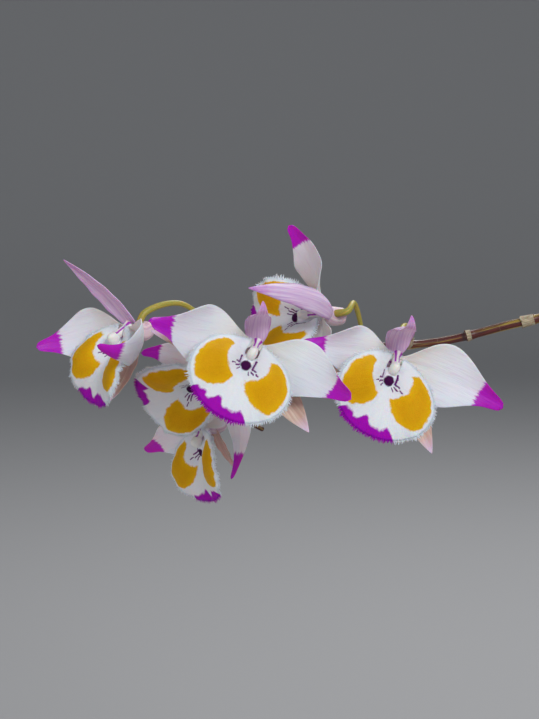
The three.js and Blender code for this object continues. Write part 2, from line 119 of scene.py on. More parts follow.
def area_light(name, place, aim, size, watts, colour=(1, 1, 1)):
    """A square soft light at a place, turned to face its aim."""
    lamp = bpy.data.lights.new(name, "AREA")
    lamp.size, lamp.energy, lamp.color = size, watts, colour
    made = bpy.data.objects.new(name, lamp)
    bpy.context.scene.collection.objects.link(made)
    made.location = place
    made.rotation_mode = "QUATERNION"
    aside = Vector(aim) - Vector(place)
    made.rotation_quaternion = aside.to_track_quat("-Z", "Y")


bend = np.radians(np.linspace(0, 90, 24))
sweep_y = np.concatenate([[-2.5, 1.0], 1.6 + 0.8 * np.sin(bend), [2.4]])
sweep_z = np.concatenate([[0, 0], 0.8 * (1 - np.cos(bend)), [3.5]])
across = np.linspace(-3.5, 3.5, 8)
floor_points = np.stack(np.broadcast_arrays(across[None, :], sweep_y[:, None], sweep_z[:, None]), -1)
floor = mesh_object("floor", floor_points, [grid_faces(len(sweep_y), len(across))])
floor_paint, tree, shader = finish_named("floor_paint", 0.9)
shader.inputs["Base Color"].default_value = FLOOR_COLOUR
floor.data.materials.append(floor_paint)
floor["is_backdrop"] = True

area_light("key", (0.35, -0.95, 0.95), CAMERA_AIM, 0.5, 9.5)
area_light("fill", (-0.95, -0.75, 0.3), CAMERA_AIM, 0.9, 3, (1, 0.98, 0.95))
area_light("back", (0.15, 0.75, 1.0), CAMERA_AIM, 0.5, 6)
world = bpy.data.worlds.new("studio")
world.use_nodes = True
world.node_tree.nodes["Background"].inputs["Color"].default_value = (0.9, 0.95, 1, 1)
world.node_tree.nodes["Background"].inputs["Strength"].default_value = 0.25
bpy.context.scene.world = world
bpy.context.scene.view_settings.view_transform = "Standard"

camera = bpy.data.objects.new("camera", bpy.data.cameras.new("camera"))
bpy.context.scene.collection.objects.link(camera)
camera.data.lens, camera.data.sensor_width, camera.data.clip_start = 85, 36, 0.01
outward = Vector((0, -math.cos(CAMERA_RISE), math.sin(CAMERA_RISE)))
camera.location = Vector(CAMERA_AIM) + CAMERA_DISTANCE * outward
camera.rotation_mode = "QUATERNION"
camera.rotation_quaternion = (-outward).to_track_quat("-Z", "Y")
bpy.context.scene.camera = camera

# A plain thrown clay pot with a thick rim, fired unglazed, and four drainage holes round the middle of its
# base. Water has left pale salts on it, thickest low on its wall and under its rim.

POT_PROFILE = [
    (0, 0), (34.5, 0), (36, 0.2), (36.8, 0.9), (37.1, 2), (40, 20), (44.2, 45), (47.8, 67.6), (48.3, 68.4),
    (51.6, 68.8), (52.6, 69.4), (53, 70.6), (53, 78), (53, 85.8), (52.6, 87.2), (51.6, 87.9), (49.6, 88),
    (47.8, 87.9), (46.7, 87.2), (46, 85.8), (42, 60), (37, 30), (33.2, 8.5), (32.4, 6.6), (31, 6), (0, 6),
]
DRAIN_RADIUS, DRAIN_CIRCLE = 5, 20
CLAY, CLAY_DARK, CLAY_SALT = (0.43, 0.165, 0.078, 1), (0.29, 0.098, 0.045, 1), (0.60, 0.47, 0.36, 1)


def turned(profile, sides, steps):
    """A closed round body: a profile of (radius, height) carried round +Z, each stretch cut into steps."""
    profile = np.array(profile, float)
    share = np.linspace(0, len(profile) - 1, (len(profile) - 1) * steps + 1)[1:-1]
    radius, height = (np.interp(share, np.arange(len(profile)), profile[:, k]) for k in (0, 1))
    angle = np.linspace(0, 2 * np.pi, sides, endpoint=False)
    rings = np.stack(
        np.broadcast_arrays(
            radius[:, None] * np.cos(angle), radius[:, None] * np.sin(angle), height[:, None] + 0 * angle
        ),
        -1,
    ).reshape(-1, 3)
    last = len(rings) - sides
    turn = np.arange(sides)
    ahead = np.roll(turn, -1)
    low, high = np.full(sides, len(rings)), np.full(sides, len(rings) + 1)
    points = np.vstack([rings, [0, 0, profile[0, 1]], [0, 0, profile[-1, 1]]])
    faces = [
        grid_faces(len(radius), sides, True),
        np.stack([low, ahead, turn], -1),
        np.stack([high, last + turn, last + ahead], -1),
    ]
    return points, faces


def cut(piece, cutter):
    """Takes one closed object out of another for good, and deletes the cutter."""
    boolean = piece.modifiers.new("cut", "BOOLEAN")
    boolean.object, boolean.solver = cutter, "EXACT"
    whole = bpy.context.evaluated_depsgraph_get()
    piece.data = bpy.data.meshes.new_from_object(piece.evaluated_get(whole))
    piece.modifiers.clear()
    bpy.data.objects.remove(cutter)


def ramp(tree, value, low, high, top=1.0, bottom=0.0):
    """A value carried from the range low to high onto the range bottom to top, and held at its ends."""
    return node(
        tree, "MapRange", {"Value": value, "From Min": low, "From Max": high, "To Min": bottom, "To Max": top}
    )[0]


def blend(tree, share, first, second):
    """A colour that goes from the first to the second with the share."""
    return node(tree, "Mix", {0: share, 6: first, 7: second}, data_type="RGBA")[2]


def calc(tree, operation, *terms):
    """One step of arithmetic on up to three terms."""
    return node(tree, "Math", dict(enumerate(terms)), operation=operation)[0]


def noise(tree, where, scale, detail, roughness=0.5):
    """A cloudy value round 0.5."""
    return node(
        tree, "TexNoise", {"Vector": where, "Scale": scale, "Detail": detail, "Roughness": roughness}
    )["Fac"]


def roughen(tree, shader, height, strength, depth):
    """Fine relief on a finish, of a depth in metres."""
    bump = node(tree, "Bump", {"Strength": strength, "Distance": depth, "Height": height})["Normal"]
    tree.links.new(bump, shader.inputs["Normal"])


points, faces = turned(POT_PROFILE, 128, 3)
pot = mesh_object("clay_pot", points * MM, faces)
drill = []
for quarter in range(4):
    angle = math.radians(45 + 90 * quarter)
    points, faces = turned([(0, -3), (DRAIN_RADIUS, -3), (DRAIN_RADIUS, 12), (0, 12)], 40, 1)
    points = points + [DRAIN_CIRCLE * math.cos(angle), DRAIN_CIRCLE * math.sin(angle), 0]
    drill.append((points * MM, faces))
for points, faces in drill:
    cut(pot, mesh_object("drill", points, faces))

clay, tree, shader = finish_named("clay", 0.88)
place = node(tree, "TexCoord")["Object"]
height = node(tree, "SeparateXYZ", {0: place})["Z"]
blotch = noise(tree, place, 38, 6, 0.6)
grain = noise(tree, place, 1400, 3)
low_salt = ramp(tree, height, 0.045, 0.004)
rim_salt = ramp(tree, height, 0.058, 0.069, 0.7)
salt_room = calc(tree, "MAXIMUM", low_salt, rim_salt)
salt_mix = calc(tree, "MULTIPLY_ADD", blotch, salt_room, -0.02)
salt = ramp(tree, salt_mix, 0.24, 0.62, 0.75)
tone = ramp(tree, blotch, 0.35, 0.65)
body = blend(tree, tone, CLAY_DARK, CLAY)
body = blend(tree, salt, body, CLAY_SALT)
speck = ramp(tree, grain, 0.3, 0.7, 1.1, 0.86)
body = node(tree, "VectorMath", {0: body, 1: speck}, operation="MULTIPLY")[0]
tree.links.new(body, shader.inputs["Base Color"])
wheel = node(
    tree, "TexWave", {"Vector": place, "Scale": 90, "Distortion": 1.5, "Detail": 2}, bands_direction="Z"
)["Fac"]
relief = calc(tree, "MULTIPLY_ADD", wheel, 0.35, grain)
roughen(tree, shader, relief, 0.5, 0.0003)
pot.data.materials.append(clay)
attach(pot, "root")
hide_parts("pot")

# The pot is filled with chips of conifer bark, brown outside and redder where they broke. The chips that show
# lie flat or tipped on a plug of the same bark, and leave room round each stem.

BARK_FOOT, BARK_TOP, BARK_RADIUS = 6.4, 76, 44.0
STEM_FEET = np.array([(2.0, 4.0), (19, -7), (6.6, 21), (-22.8, -0.4), (12.6, -20.6)])
PLUG_PROFILE = [(0, BARK_FOOT), (31.6, BARK_FOOT), (43.6, 73), (42, 73.4), (24, 74.8), (0, 75.2)]
CHIP_COUNT = 300
CHIP_TILT = 0.34
GOLDEN_TURN = 2.39996
BARK_BROWN, BARK_RED, BARK_GREY = (0.085, 0.042, 0.022, 1), (0.19, 0.075, 0.032, 1), (0.17, 0.14, 0.115, 1)


def fuse(*shells):
    """Several closed shells as one set of points, faces and values. A shell whose enclosed volume, the sum of
    its corners' triple products, is below zero has its faces turned round."""
    points, faces, values, count = [], [], {}, 0
    names = sorted({key for shell in shells for key in shell[2]})
    for place, quads, value in shells:
        place = place.reshape(-1, 3)
        volume = 0
        for array in quads:
            first, *rest = (place[array[:, k]] for k in range(array.shape[1]))
            for b, c in zip(rest, rest[1:]):
                volume += np.einsum("ij,ij->", first, np.cross(b, c))
        points.append(place)
        faces += [(array if volume > 0 else array[:, ::-1]) + count for array in quads]
        for key in names:
            values.setdefault(key, []).append(np.broadcast_to(value.get(key, 0.0), len(place)))
        count += len(place)
    return np.concatenate(points), faces, {key: np.concatenate(parts) for key, parts in values.items()}


def rough_chips(rng, centres, lengths, tilt):
    """Bark chips: a box of 4 x 3 x 2 cells, pushed towards a slab with split ends, each corner moved at
    random, then turned about Z at random, tipped by up to tilt and put in its place."""
    cells = np.array([(x, y, z) for x in range(5) for y in range(4) for z in range(3)], float)
    cells = cells / [2, 1.5, 1] - 1
    skin = np.array([i for i, c in enumerate(cells) if np.abs(c).max() > 0.999])
    index = {int(old): new for new, old in enumerate(skin)}
    number = np.arange(60).reshape(5, 4, 3)
    sides = [number[0].T, number[-1], number[:, 0], number[:, -1].T, number[:, :, 0].T, number[:, :, -1]]
    quads = np.concatenate(
        [np.stack([s[:-1, :-1], s[1:, :-1], s[1:, 1:], s[:-1, 1:]], -1).reshape(-1, 4) for s in sides]
    )
    quads = np.vectorize(index.get)(quads)
    base = cells[skin]
    count = len(centres)
    shape = base[None] * (1 - 0.16 * np.linalg.norm(base[:, :2], axis=-1)[None, :, None] ** 2 * 0.5)
    shape = shape + rng.normal(0, 0.11, (count, len(base), 3))
    shape[..., 2] += 0.18 * rng.normal(0, 1, (count, 1)) * base[None, :, 0] ** 2
    broad, thick = rng.uniform(0.24, 0.42, count), rng.uniform(0.09, 0.2, count)
    half = np.stack([lengths / 2, lengths * broad, lengths * thick], -1)
    shape = shape * half[:, None]
    spin = rng.uniform(0, 2 * np.pi, count)
    tip = rng.normal(0, tilt, (count, 2))
    for axis, angle in ((0, tip[:, 0]), (1, tip[:, 1]), (2, spin)):
        a, b = [(1, 2), (2, 0), (0, 1)][axis]
        cosine, sine = np.cos(angle)[:, None], np.sin(angle)[:, None]
        turned_a = shape[..., a] * cosine - shape[..., b] * sine
        turned_b = shape[..., a] * sine + shape[..., b] * cosine
        shape[..., a], shape[..., b] = turned_a, turned_b
    shape = shape + centres[:, None]
    faces = (quads[None] + len(base) * np.arange(count)[:, None, None]).reshape(-1, 4)
    tone = np.repeat(rng.uniform(0, 1, count), len(base))
    return shape, [faces], {"tone": tone}


def carried(tree, *names):
    """The named values that a piece's points carry, as a list."""
    return [node(tree, "Attribute", attribute_name=name)["Fac"] for name in names]


rng = np.random.default_rng(7)
order = np.arange(CHIP_COUNT)
radius = (BARK_RADIUS - 4.5) * np.sqrt((order + 0.5) / CHIP_COUNT)
angle = order * GOLDEN_TURN + rng.normal(0, 0.15, CHIP_COUNT)
centre = np.stack([radius * np.cos(angle), radius * np.sin(angle)], -1) + rng.normal(0, 0.8, (CHIP_COUNT, 2))
reach = rng.uniform(6.5, 13, CHIP_COUNT)
clear = np.linalg.norm(centre[:, None] - STEM_FEET[None], axis=-1).min(1)
reach = np.minimum(reach, np.maximum(clear * 1.5, 3.0))
kept = clear > 3.6
layer = rng.uniform(-2.6, 1.6, CHIP_COUNT) - 2.0 * radius / BARK_RADIUS
chips = rough_chips(rng, np.column_stack([centre, BARK_TOP + layer])[kept], reach[kept], CHIP_TILT)
plug_points, plug_faces = turned(PLUG_PROFILE, 64, 4)
points, faces, values = fuse((plug_points, plug_faces, {"tone": 0.1}), chips)
bark = mesh_object("bark_chips", points * MM, faces, values, smooth=False)

bark_skin, tree, shader = finish_named("bark", 0.92)
place = node(tree, "TexCoord")["Object"]
tone = carried(tree, "tone")[0]
flake = noise(tree, place, 320, 8, 0.65)
layers = node(tree, "TexVoronoi", {"Vector": place, "Scale": 420})["Distance"]
worn = ramp(tree, flake, 0.5, 0.72)
raw = blend(tree, tone, BARK_BROWN, BARK_RED)
raw = blend(tree, worn, raw, BARK_GREY)
tree.links.new(raw, shader.inputs["Base Color"])
relief = calc(tree, "MULTIPLY_ADD", flake, 2.0, layers)
roughen(tree, shader, relief, 0.8, 0.0006)
bark.data.materials.append(bark_skin)
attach(bark, "root")
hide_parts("bark")

# A cane is a slim jointed stem. In flower it is bare: dark red-brown and glossy, with yellow-green streaks
# and rags of its dry sheaths left at the nodes. The two older canes are straw-coloured, and papery sheaths
# still wrap them.

FLOWERING_CANE = [
    (2, 4, 60), (4, 5, 105), (3, 6, 150), (-5, 7, 200), (-24, 7, 243), (-46, 9, 262.5), (-68.5, 11, 258.6),
    (-95.5, 12, 252), (-120, 13, 250), (-142, 13, 249), (-158, 15, 247), (-167, 18, 241), (-168, 20, 233),
    (-161.5, 21, 227), (-152.4, 21, 222),
]
FLOWERING_NODES = [
    0.05, 0.115, 0.185, 0.255, 0.325, 0.395, 0.465, 0.53, 0.59, 0.645, 0.7, 0.752, 0.793, 0.836, 0.878,
    0.905, 0.93, 0.957, 0.985,
]
OLD_CANES = {
    "old_cane_right": [
        (17, -6, 60), (22, -8, 105), (36, -12, 150), (62, -17, 182), (92, -22, 190), (116, -26, 178),
    ],
    "old_cane_back": [(6, 19, 60), (8, 25, 105), (7, 40, 148), (2, 64, 176), (-6, 90, 180), (-12, 108, 168)],
}
SHEATH_RAGS = [
    (0.05, 16), (0.115, 14), (0.185, 9), (0.255, 12), (0.325, 5), (0.465, 7), (0.59, 3), (0.645, 5), (0.7, 2),
]
CANE_FOOT_RADIUS, CANE_TIP_RADIUS = 1.9, 0.8
OLD_FOOT_RADIUS, OLD_TIP_RADIUS = 2.1, 1.1
INTERNODE = 27
SCAR_FRESH, SCAR_DRY = (0.5, 0.4, 0.24, 1), (0.16, 0.09, 0.04, 1)
SHEATH_BROWN, SHEATH_PALE = (0.22, 0.14, 0.075, 1), (0.62, 0.53, 0.37, 1)
CANE_DARK, CANE_RED, CANE_OLIVE = (0.030, 0.004, 0.003, 1), (0.14, 0.014, 0.007, 1), (0.40, 0.28, 0.035, 1)
STRAW, STRAW_DARK, STRAW_PALE = (0.42, 0.31, 0.14, 1), (0.20, 0.12, 0.05, 1), (0.62, 0.53, 0.36, 1)


def smooth_path(knots, count):
    """A curve through knots, with count points evenly spaced along it, and its length. Each stretch is a
    cubic whose end slopes come from the knots round it, weighted by the roots of their distances."""
    knots = np.array(knots, float)
    knots = np.vstack([2 * knots[0] - knots[1], knots, 2 * knots[-1] - knots[-2]])
    gap = np.sqrt(np.linalg.norm(np.diff(knots, axis=0), axis=1))[:, None]
    a, b, c, d = knots[:-3], knots[1:-2], knots[2:-1], knots[3:]
    before, here, after = gap[:-2], gap[1:-1], gap[2:]
    slope_b = ((b - a) / before - (c - a) / (before + here) + (c - b) / here) * here
    slope_c = ((c - b) / here - (d - b) / (here + after) + (d - c) / after) * here
    s = np.linspace(0, 1, 60, endpoint=False)[:, None, None]
    points = (
        (2 * s**3 - 3 * s**2 + 1) * b + (s**3 - 2 * s**2 + s) * slope_b
        + (3 * s**2 - 2 * s**3) * c + (s**3 - s**2) * slope_c
    )
    points = np.vstack([points.transpose(1, 0, 2).reshape(-1, 3), knots[-2]])
    run = np.concatenate([[0], np.cumsum(np.linalg.norm(np.diff(points, axis=0), axis=1))])
    even = np.linspace(0, run[-1], count)
    return np.stack([np.interp(even, run, points[:, k]) for k in range(3)], -1), run[-1]


def unit(vectors):
    """Vectors scaled to a length of one."""
    return vectors / np.maximum(np.linalg.norm(vectors, axis=-1, keepdims=True), 1e-12)


def across_path(path):
    """For each point of a path, its direction and two directions square to it, the first lying in the plane
    that the path is nearest to being square to."""
    along = unit(np.gradient(path, axis=0))
    reference = np.linalg.svd(path - path.mean(0))[2][2]
    side = unit(np.cross(along, reference))
    return along, side, np.cross(along, side)


def stalk(path, radius, sides, dome=1.0, **values):
    """A closed round stalk: rings about a path, each point out by radius (one number a ring or one a point),
    and at either end two smaller rings and a pole that round it off by dome times its radius."""
    along, side, up = across_path(path)
    turn = np.linspace(0, 2 * np.pi, sides, endpoint=False)
    radius = np.asarray(radius, float)
    radius = np.broadcast_to(radius[:, None] if radius.ndim == 1 else radius, (len(path), sides))
    round_it = side[:, None] * np.cos(turn)[:, None] + up[:, None] * np.sin(turn)[:, None]
    rings = path[:, None] + radius[..., None] * round_it
    tips = []
    for end, sign in ((0, -1), (-1, 1)):
        out = sign * along[end] * dome * radius[end].mean()
        lean = np.radians([35, 70])[:, None, None]
        tip_rings = path[end] + out * np.sin(lean) + np.cos(lean) * (rings[end] - path[end])
        tips.append((tip_rings, path[end] + out))
    (foot_rings, foot), (tip_rings, tip) = tips
    body = np.concatenate([foot_rings[::-1], rings, tip_rings])
    count = len(body)
    points = np.vstack([body.reshape(-1, 3), foot, tip])
    first, ahead = np.arange(sides), np.roll(np.arange(sides), -1)
    last = (count - 1) * sides
    low, high = np.full(sides, count * sides), np.full(sides, count * sides + 1)
    faces = [
        grid_faces(count, sides, True),
        np.stack([low, ahead, first], -1),
        np.stack([high, last + first, last + ahead], -1),
    ]
    held = {}
    for key, value in values.items():
        value = np.broadcast_to(np.asarray(value, float), (len(path), sides))
        value = np.concatenate([value[:1], value[:1], value, value[-1:], value[-1:]])
        held[key] = np.concatenate([value.ravel(), [value[0].mean(), value[-1].mean()]])
    return points, faces, held


def blade(middle, thickness, **values):
    """A thin closed sheet: a grid of points, laid off by half its thickness to either side along the normal,
    with a rim between its two faces. A value may differ on the faces: it then has one grid for each."""
    rows, columns = middle.shape[:2]
    normal = unit(np.cross(np.gradient(middle, axis=1), np.gradient(middle, axis=0)))
    offset = normal * np.broadcast_to(thickness, (rows, columns))[..., None] / 2
    index = np.arange(rows * columns).reshape(rows, columns)
    rim = np.concatenate([index[0, :-1], index[:-1, -1], index[-1, :0:-1], index[:0:-1, 0]])
    ahead = np.roll(rim, -1)
    front = grid_faces(rows, columns)
    back = front[:, ::-1] + rows * columns
    edge = np.stack([rim, rim + rows * columns, ahead + rows * columns, ahead], -1)
    held = {key: np.broadcast_to(value, (2, rows, columns)).ravel() for key, value in values.items()}
    return np.stack([middle + offset, middle - offset]), [front, back, edge], held


def cane_shell(knots, nodes, thick, thin, sides=28):
    """A cane: its radius falls with the square of the share of its length and swells at each node, over a
    groove just above it. Its values are the distance to the nearest node and the place along and round it, in
    millimetres."""
    path, length = smooth_path(knots, 60)
    path, length = smooth_path(knots, int(length / 0.8))
    share = np.linspace(0, 1, len(path))
    away = (share[:, None] - np.array(nodes)) * length
    nearest = np.take_along_axis(away, np.abs(away).argmin(1)[:, None], 1)[:, 0]
    swell = 0.3 * np.exp(-((nearest / 1.7) ** 2)) - 0.12 * np.exp(-(((nearest - 1.5) / 0.5) ** 2))
    radius = thick + (thin - thick) * share**2 + swell
    turn = np.linspace(0, 2 * np.pi, sides, endpoint=False)
    ribs = 1 + 0.012 * np.sin(9 * turn + 0.05 * share[:, None] * length)
    return path, length, stalk(
        path, radius[:, None] * ribs, sides, 0.8, node=nearest[:, None], along=(share * length)[:, None],
        round_x=np.cos(turn)[None] + 0 * share[:, None], round_y=np.sin(turn)[None] + 0 * share[:, None],
    )


def sheath(path, length, low, tall, radius, flare, rng, thickness=0.16):
    """A dry sheath: a sheet wrapped most of the way round the stem from low, tall millimetres at its longest
    and torn to a ragged top, which stands out by flare. It is puckered along the stem."""
    along, side, up = across_path(path)
    rows, columns = 16, 44
    slit = rng.uniform(0, 2 * np.pi)
    turn = slit + np.linspace(0, 2 * np.pi * rng.uniform(0.86, 1.08), columns)
    wave = sum(rng.uniform(0.3, 1) / k * np.sin(k * turn + rng.uniform(0, 6)) for k in (1, 2, 3, 5, 8, 13))
    torn = tall * (0.78 + 0.13 * wave)
    share = np.linspace(0, 1, rows)[:, None]
    at = np.clip((low + share * torn) / length, 0, 1) * (len(path) - 1)
    pick = lambda array: np.stack([np.interp(at, np.arange(len(path)), array[:, k]) for k in range(3)], -1)
    pucker = 0.07 * np.sin(11 * turn + 3 * share) + 0.05 * np.sin(23 * turn)
    lap = np.linspace(0, 0.22, columns)
    out = radius + lap + pucker * share + flare * share**3 * (1 + 0.5 * wave)
    round_it = unit(pick(side)) * np.cos(turn)[:, None] + unit(pick(up)) * np.sin(turn)[:, None]
    middle = pick(path) + out[..., None] * round_it
    return blade(middle, thickness, along=at / len(path) * length, around=turn * 1.0)


def cane_finish(name, colours, roughness, coat):
    """The skin of a cane: long streaks, which follow the place along and round it, a dark ring in the groove
    above each node and a pale scar below it."""
    material, tree, shader = finish_named(name, roughness, Coat_Weight=coat, Coat_Roughness=0.25)
    dark, red, streak_colour, scar = colours
    along, x, y, near = carried(tree, "along", "round_x", "round_y", "node")
    slow = calc(tree, "MULTIPLY", along, 0.028)
    where = node(tree, "CombineXYZ", {0: x, 1: y, 2: slow})[0]
    streak = noise(tree, where, 1.7, 3, 0.6)
    fine = noise(tree, where, 9, 4)
    tone = ramp(tree, fine, 0.35, 0.65)
    skin = blend(tree, tone, dark, red)
    bright = ramp(tree, streak, 0.52, 0.66, 0.85)
    skin = blend(tree, bright, skin, streak_colour)
    ring = ramp(tree, near, 0.6, 1.4)
    ring_end = ramp(tree, near, 2.6, 1.8)
    groove = calc(tree, "MULTIPLY", ring, ring_end)
    skin = blend(tree, groove, skin, dark)
    below = ramp(tree, near, -0.9, -0.3)
    above = ramp(tree, near, 0.5, 0.1, 0.8)
    line = calc(tree, "MULTIPLY", below, above)
    skin = blend(tree, line, skin, scar)
    tree.links.new(skin, shader.inputs["Base Color"])
    roughen(tree, shader, fine, 0.4, 0.0002)
    return material


fresh_cane = cane_finish("cane", (CANE_DARK, CANE_RED, CANE_OLIVE, SCAR_FRESH), 0.34, 0.4)
dry_cane = cane_finish("dry_cane", (STRAW_DARK, STRAW, STRAW_PALE, SCAR_DRY), 0.6, 0.0)

papery, tree, shader = finish_named("dry_sheath", 0.62, Subsurface_Weight=0.25, Subsurface_Scale=0.0006)
turn, along = carried(tree, "around", "along")
slow = calc(tree, "MULTIPLY", along, 0.06)
where = node(tree, "CombineXYZ", {0: turn, 1: slow, 2: 0.0})[0]
fibre = noise(tree, where, 8, 5, 0.7)
tone = ramp(tree, fibre, 0.33, 0.66)
sheath_colour = blend(tree, tone, SHEATH_BROWN, SHEATH_PALE)
tree.links.new(sheath_colour, shader.inputs["Base Color"])
roughen(tree, shader, fibre, 0.5, 0.0002)

rng = np.random.default_rng(3)
flowering_path, flowering_length, shell = cane_shell(
    FLOWERING_CANE, FLOWERING_NODES, CANE_FOOT_RADIUS, CANE_TIP_RADIUS
)
points, faces, values = fuse(shell)
flowering_cane = mesh_object("flowering_cane_skin", points * MM, faces, values)
flowering_cane.data.materials.append(fresh_cane)
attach(flowering_cane, "root")
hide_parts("flowering_cane")

rags = []
for share, tall in SHEATH_RAGS:
    stem = CANE_FOOT_RADIUS - (CANE_FOOT_RADIUS - CANE_TIP_RADIUS) * share**2
    low = share * flowering_length - 0.8
    rags.append(sheath(flowering_path, flowering_length, low, tall, stem + 0.22, 0.16, rng, 0.1))
points, faces, values = fuse(*rags)
cane_rags = mesh_object("flowering_cane_sheaths", points * MM, faces, values)
cane_rags.data.materials.append(papery)
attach(cane_rags, "root")

for name, knots in OLD_CANES.items():
    length = smooth_path(knots, 60)[1]
    joints = round(length / INTERNODE)
    path, length, shell = cane_shell(knots, np.arange(joints + 1) / joints, OLD_FOOT_RADIUS, OLD_TIP_RADIUS)
    wraps = []
    for k in range(1, joints):
        stem = OLD_FOOT_RADIUS - (OLD_FOOT_RADIUS - OLD_TIP_RADIUS) * (k / joints) ** 2
        low = k / joints * length + 0.4
        tall = length / joints * rng.uniform(0.55, 0.92)
        wraps.append(sheath(path, length, low, tall, stem + 0.14, 0.3, rng))
    points, faces, values = fuse(shell)
    old_cane = mesh_object(name + "_skin", points * MM, faces, values)
    old_cane.data.materials.append(dry_cane)
    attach(old_cane, "root")
    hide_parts(name)
    points, faces, values = fuse(*wraps)
    old_sheaths = mesh_object(name + "_sheaths", points * MM, faces, values)
    old_sheaths.data.materials.append(papery)
    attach(old_sheaths, "root")

# Two young shoots stand in leaf beside the canes. Each is a green stem wrapped in leaf sheaths, with soft
# strap leaves in two ranks, folded along the midrib and arching over, with fine parallel veins.

SHOOTS = {
    "tall_shoot": ([(-22, 0, 60), (-24, -1, 90), (-27, -1, 118), (-29, 0, 140)], 6, 58, 1.9),
    "small_shoot": ([(12, -20, 60), (13.5, -21.5, 84), (15, -24, 104)], 4, 38, -0.45),
}
LEAF_GREEN, LEAF_YOUNG = (0.12, 0.24, 0.035, 1), (0.27, 0.40, 0.07, 1)
LEAF_DEEP, LEAF_UNDER = (0.06, 0.145, 0.022, 1), (0.30, 0.40, 0.14, 1)


def strap_leaf(foot, heading, length, half_width, droop):
    """A leaf: its midrib rises at 62 degrees less droop times the share of its length, its half-width is 0.3
    (1-t)^2 + 1.75 t^0.45 (1-t)^0.8 of the given one, and its sides slope up from the midrib by 0.42 of their
    width."""
    rows, columns = 44, 15
    t, u = np.linspace(0, 1, rows)[:, None], np.linspace(-1, 1, columns)[None]
    outward = np.array([math.cos(heading), math.sin(heading), 0])
    sideways = np.array([-math.sin(heading), math.cos(heading), 0])
    rise = math.radians(62)
    half = rise - droop * (np.arange(rows - 1) + 0.5) / (rows - 1)
    step = (np.cos(half)[:, None] * outward + np.sin(half)[:, None] * [0, 0, 1]) * length / (rows - 1)
    midrib = np.vstack([foot, foot + np.cumsum(step, 0)])
    width = half_width * (0.3 * (1 - t) ** 2 + 1.75 * t**0.45 * (1 - t) ** 0.8) + 0.2
    slope = rise - droop * t
    up = -np.sin(slope)[..., None] * outward + np.cos(slope)[..., None] * np.array([0, 0, 1])
    fold = 0.42 * (np.sqrt(u**2 + 0.01) - 0.1) * width - 0.06 * width * u**2 * np.sin(9 * t + heading)
    middle = midrib[:, None] + (u * width)[..., None] * sideways + fold[..., None] * up
    thickness = 0.2 + 0.42 * (1 - np.abs(u)) ** 0.5 * (1 - 0.6 * t)
    under = np.array([0, 1])[:, None, None]
    return blade(middle, thickness, leaf_across=u + 0 * t, leaf_along=t + 0 * u, under=under)


leaf_green, tree, shader = finish_named("leaf", 0.42, Subsurface_Weight=0.12, Subsurface_Scale=0.001)
across, along, under = carried(tree, "leaf_across", "leaf_along", "under")
place = node(tree, "TexCoord")["Object"]
cloud = noise(tree, place, 60, 4)
vein_place = node(tree, "CombineXYZ", {0: across, 1: calc(tree, "MULTIPLY", along, 0.25)})[0]
veins = node(
    tree, "TexWave", {"Vector": vein_place, "Scale": 3.6, "Distortion": 0.3}, bands_direction="X"
)["Fac"]
fine_veins = noise(tree, vein_place, 26, 3)
vein_tone = calc(tree, "MULTIPLY_ADD", veins, 0.5, fine_veins)
vein_tone = ramp(tree, vein_tone, 0.3, 1.1)
green = blend(tree, vein_tone, LEAF_DEEP, LEAF_GREEN)
youth = ramp(tree, cloud, 0.35, 0.75, 0.55)
green = blend(tree, youth, green, LEAF_YOUNG)
rib = calc(tree, "ABSOLUTE", across)
rib = ramp(tree, rib, 0.09, 0.03, 0.6)
green = blend(tree, rib, green, LEAF_YOUNG)
pale = calc(tree, "MULTIPLY", under, 0.35)
green = blend(tree, pale, green, LEAF_UNDER)
tree.links.new(green, shader.inputs["Base Color"])
roughen(tree, shader, vein_tone, 0.35, 0.0003)

for name, (knots, leaves, length, heading) in SHOOTS.items():
    path, tall = smooth_path(knots, 120)
    share = np.linspace(0, 1, len(path))
    ripple = 0.12 * np.abs(np.sin(share * leaves * math.pi * 1.2)) ** 6
    parts = [stalk(path, 2.2 - 1.1 * share + ripple, 20, 1.0, leaf_across=np.full((120, 1), 0.5))]
    for k in range(leaves):
        at = 0.34 + 0.63 * k / (leaves - 1)
        side = heading + (k % 2) * math.pi + 0.18 * k
        size = length * (0.72 + 0.28 * math.sin(math.pi * (k + 1) / leaves))
        droop = math.radians(78 - 52 * at)
        foot = path[round(at * 119)]
        parts.append(strap_leaf(foot, side, size, length * 0.12, droop))
        wrap = path[max(round(at * 119) - 26, 0) : round(at * 119) + 3]
        girth = (2.2 - 1.1 * at) + np.linspace(0.1, 0.42, len(wrap))
        parts.append(stalk(wrap, girth, 20, 0.3, leaf_across=np.full((len(wrap), 1), 0.4)))
    points, faces, values = fuse(*parts)
    shoot = mesh_object(name + "_leaves", points * MM, faces, values)
    shoot.data.materials.append(leaf_green)
    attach(shoot, "root")
    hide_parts(name)

# Each flower hangs on a thin stalk, olive yellow and smooth, which leaves the cane in the axil of a dry bract
# at a node and swells into the ovary behind the sepals.

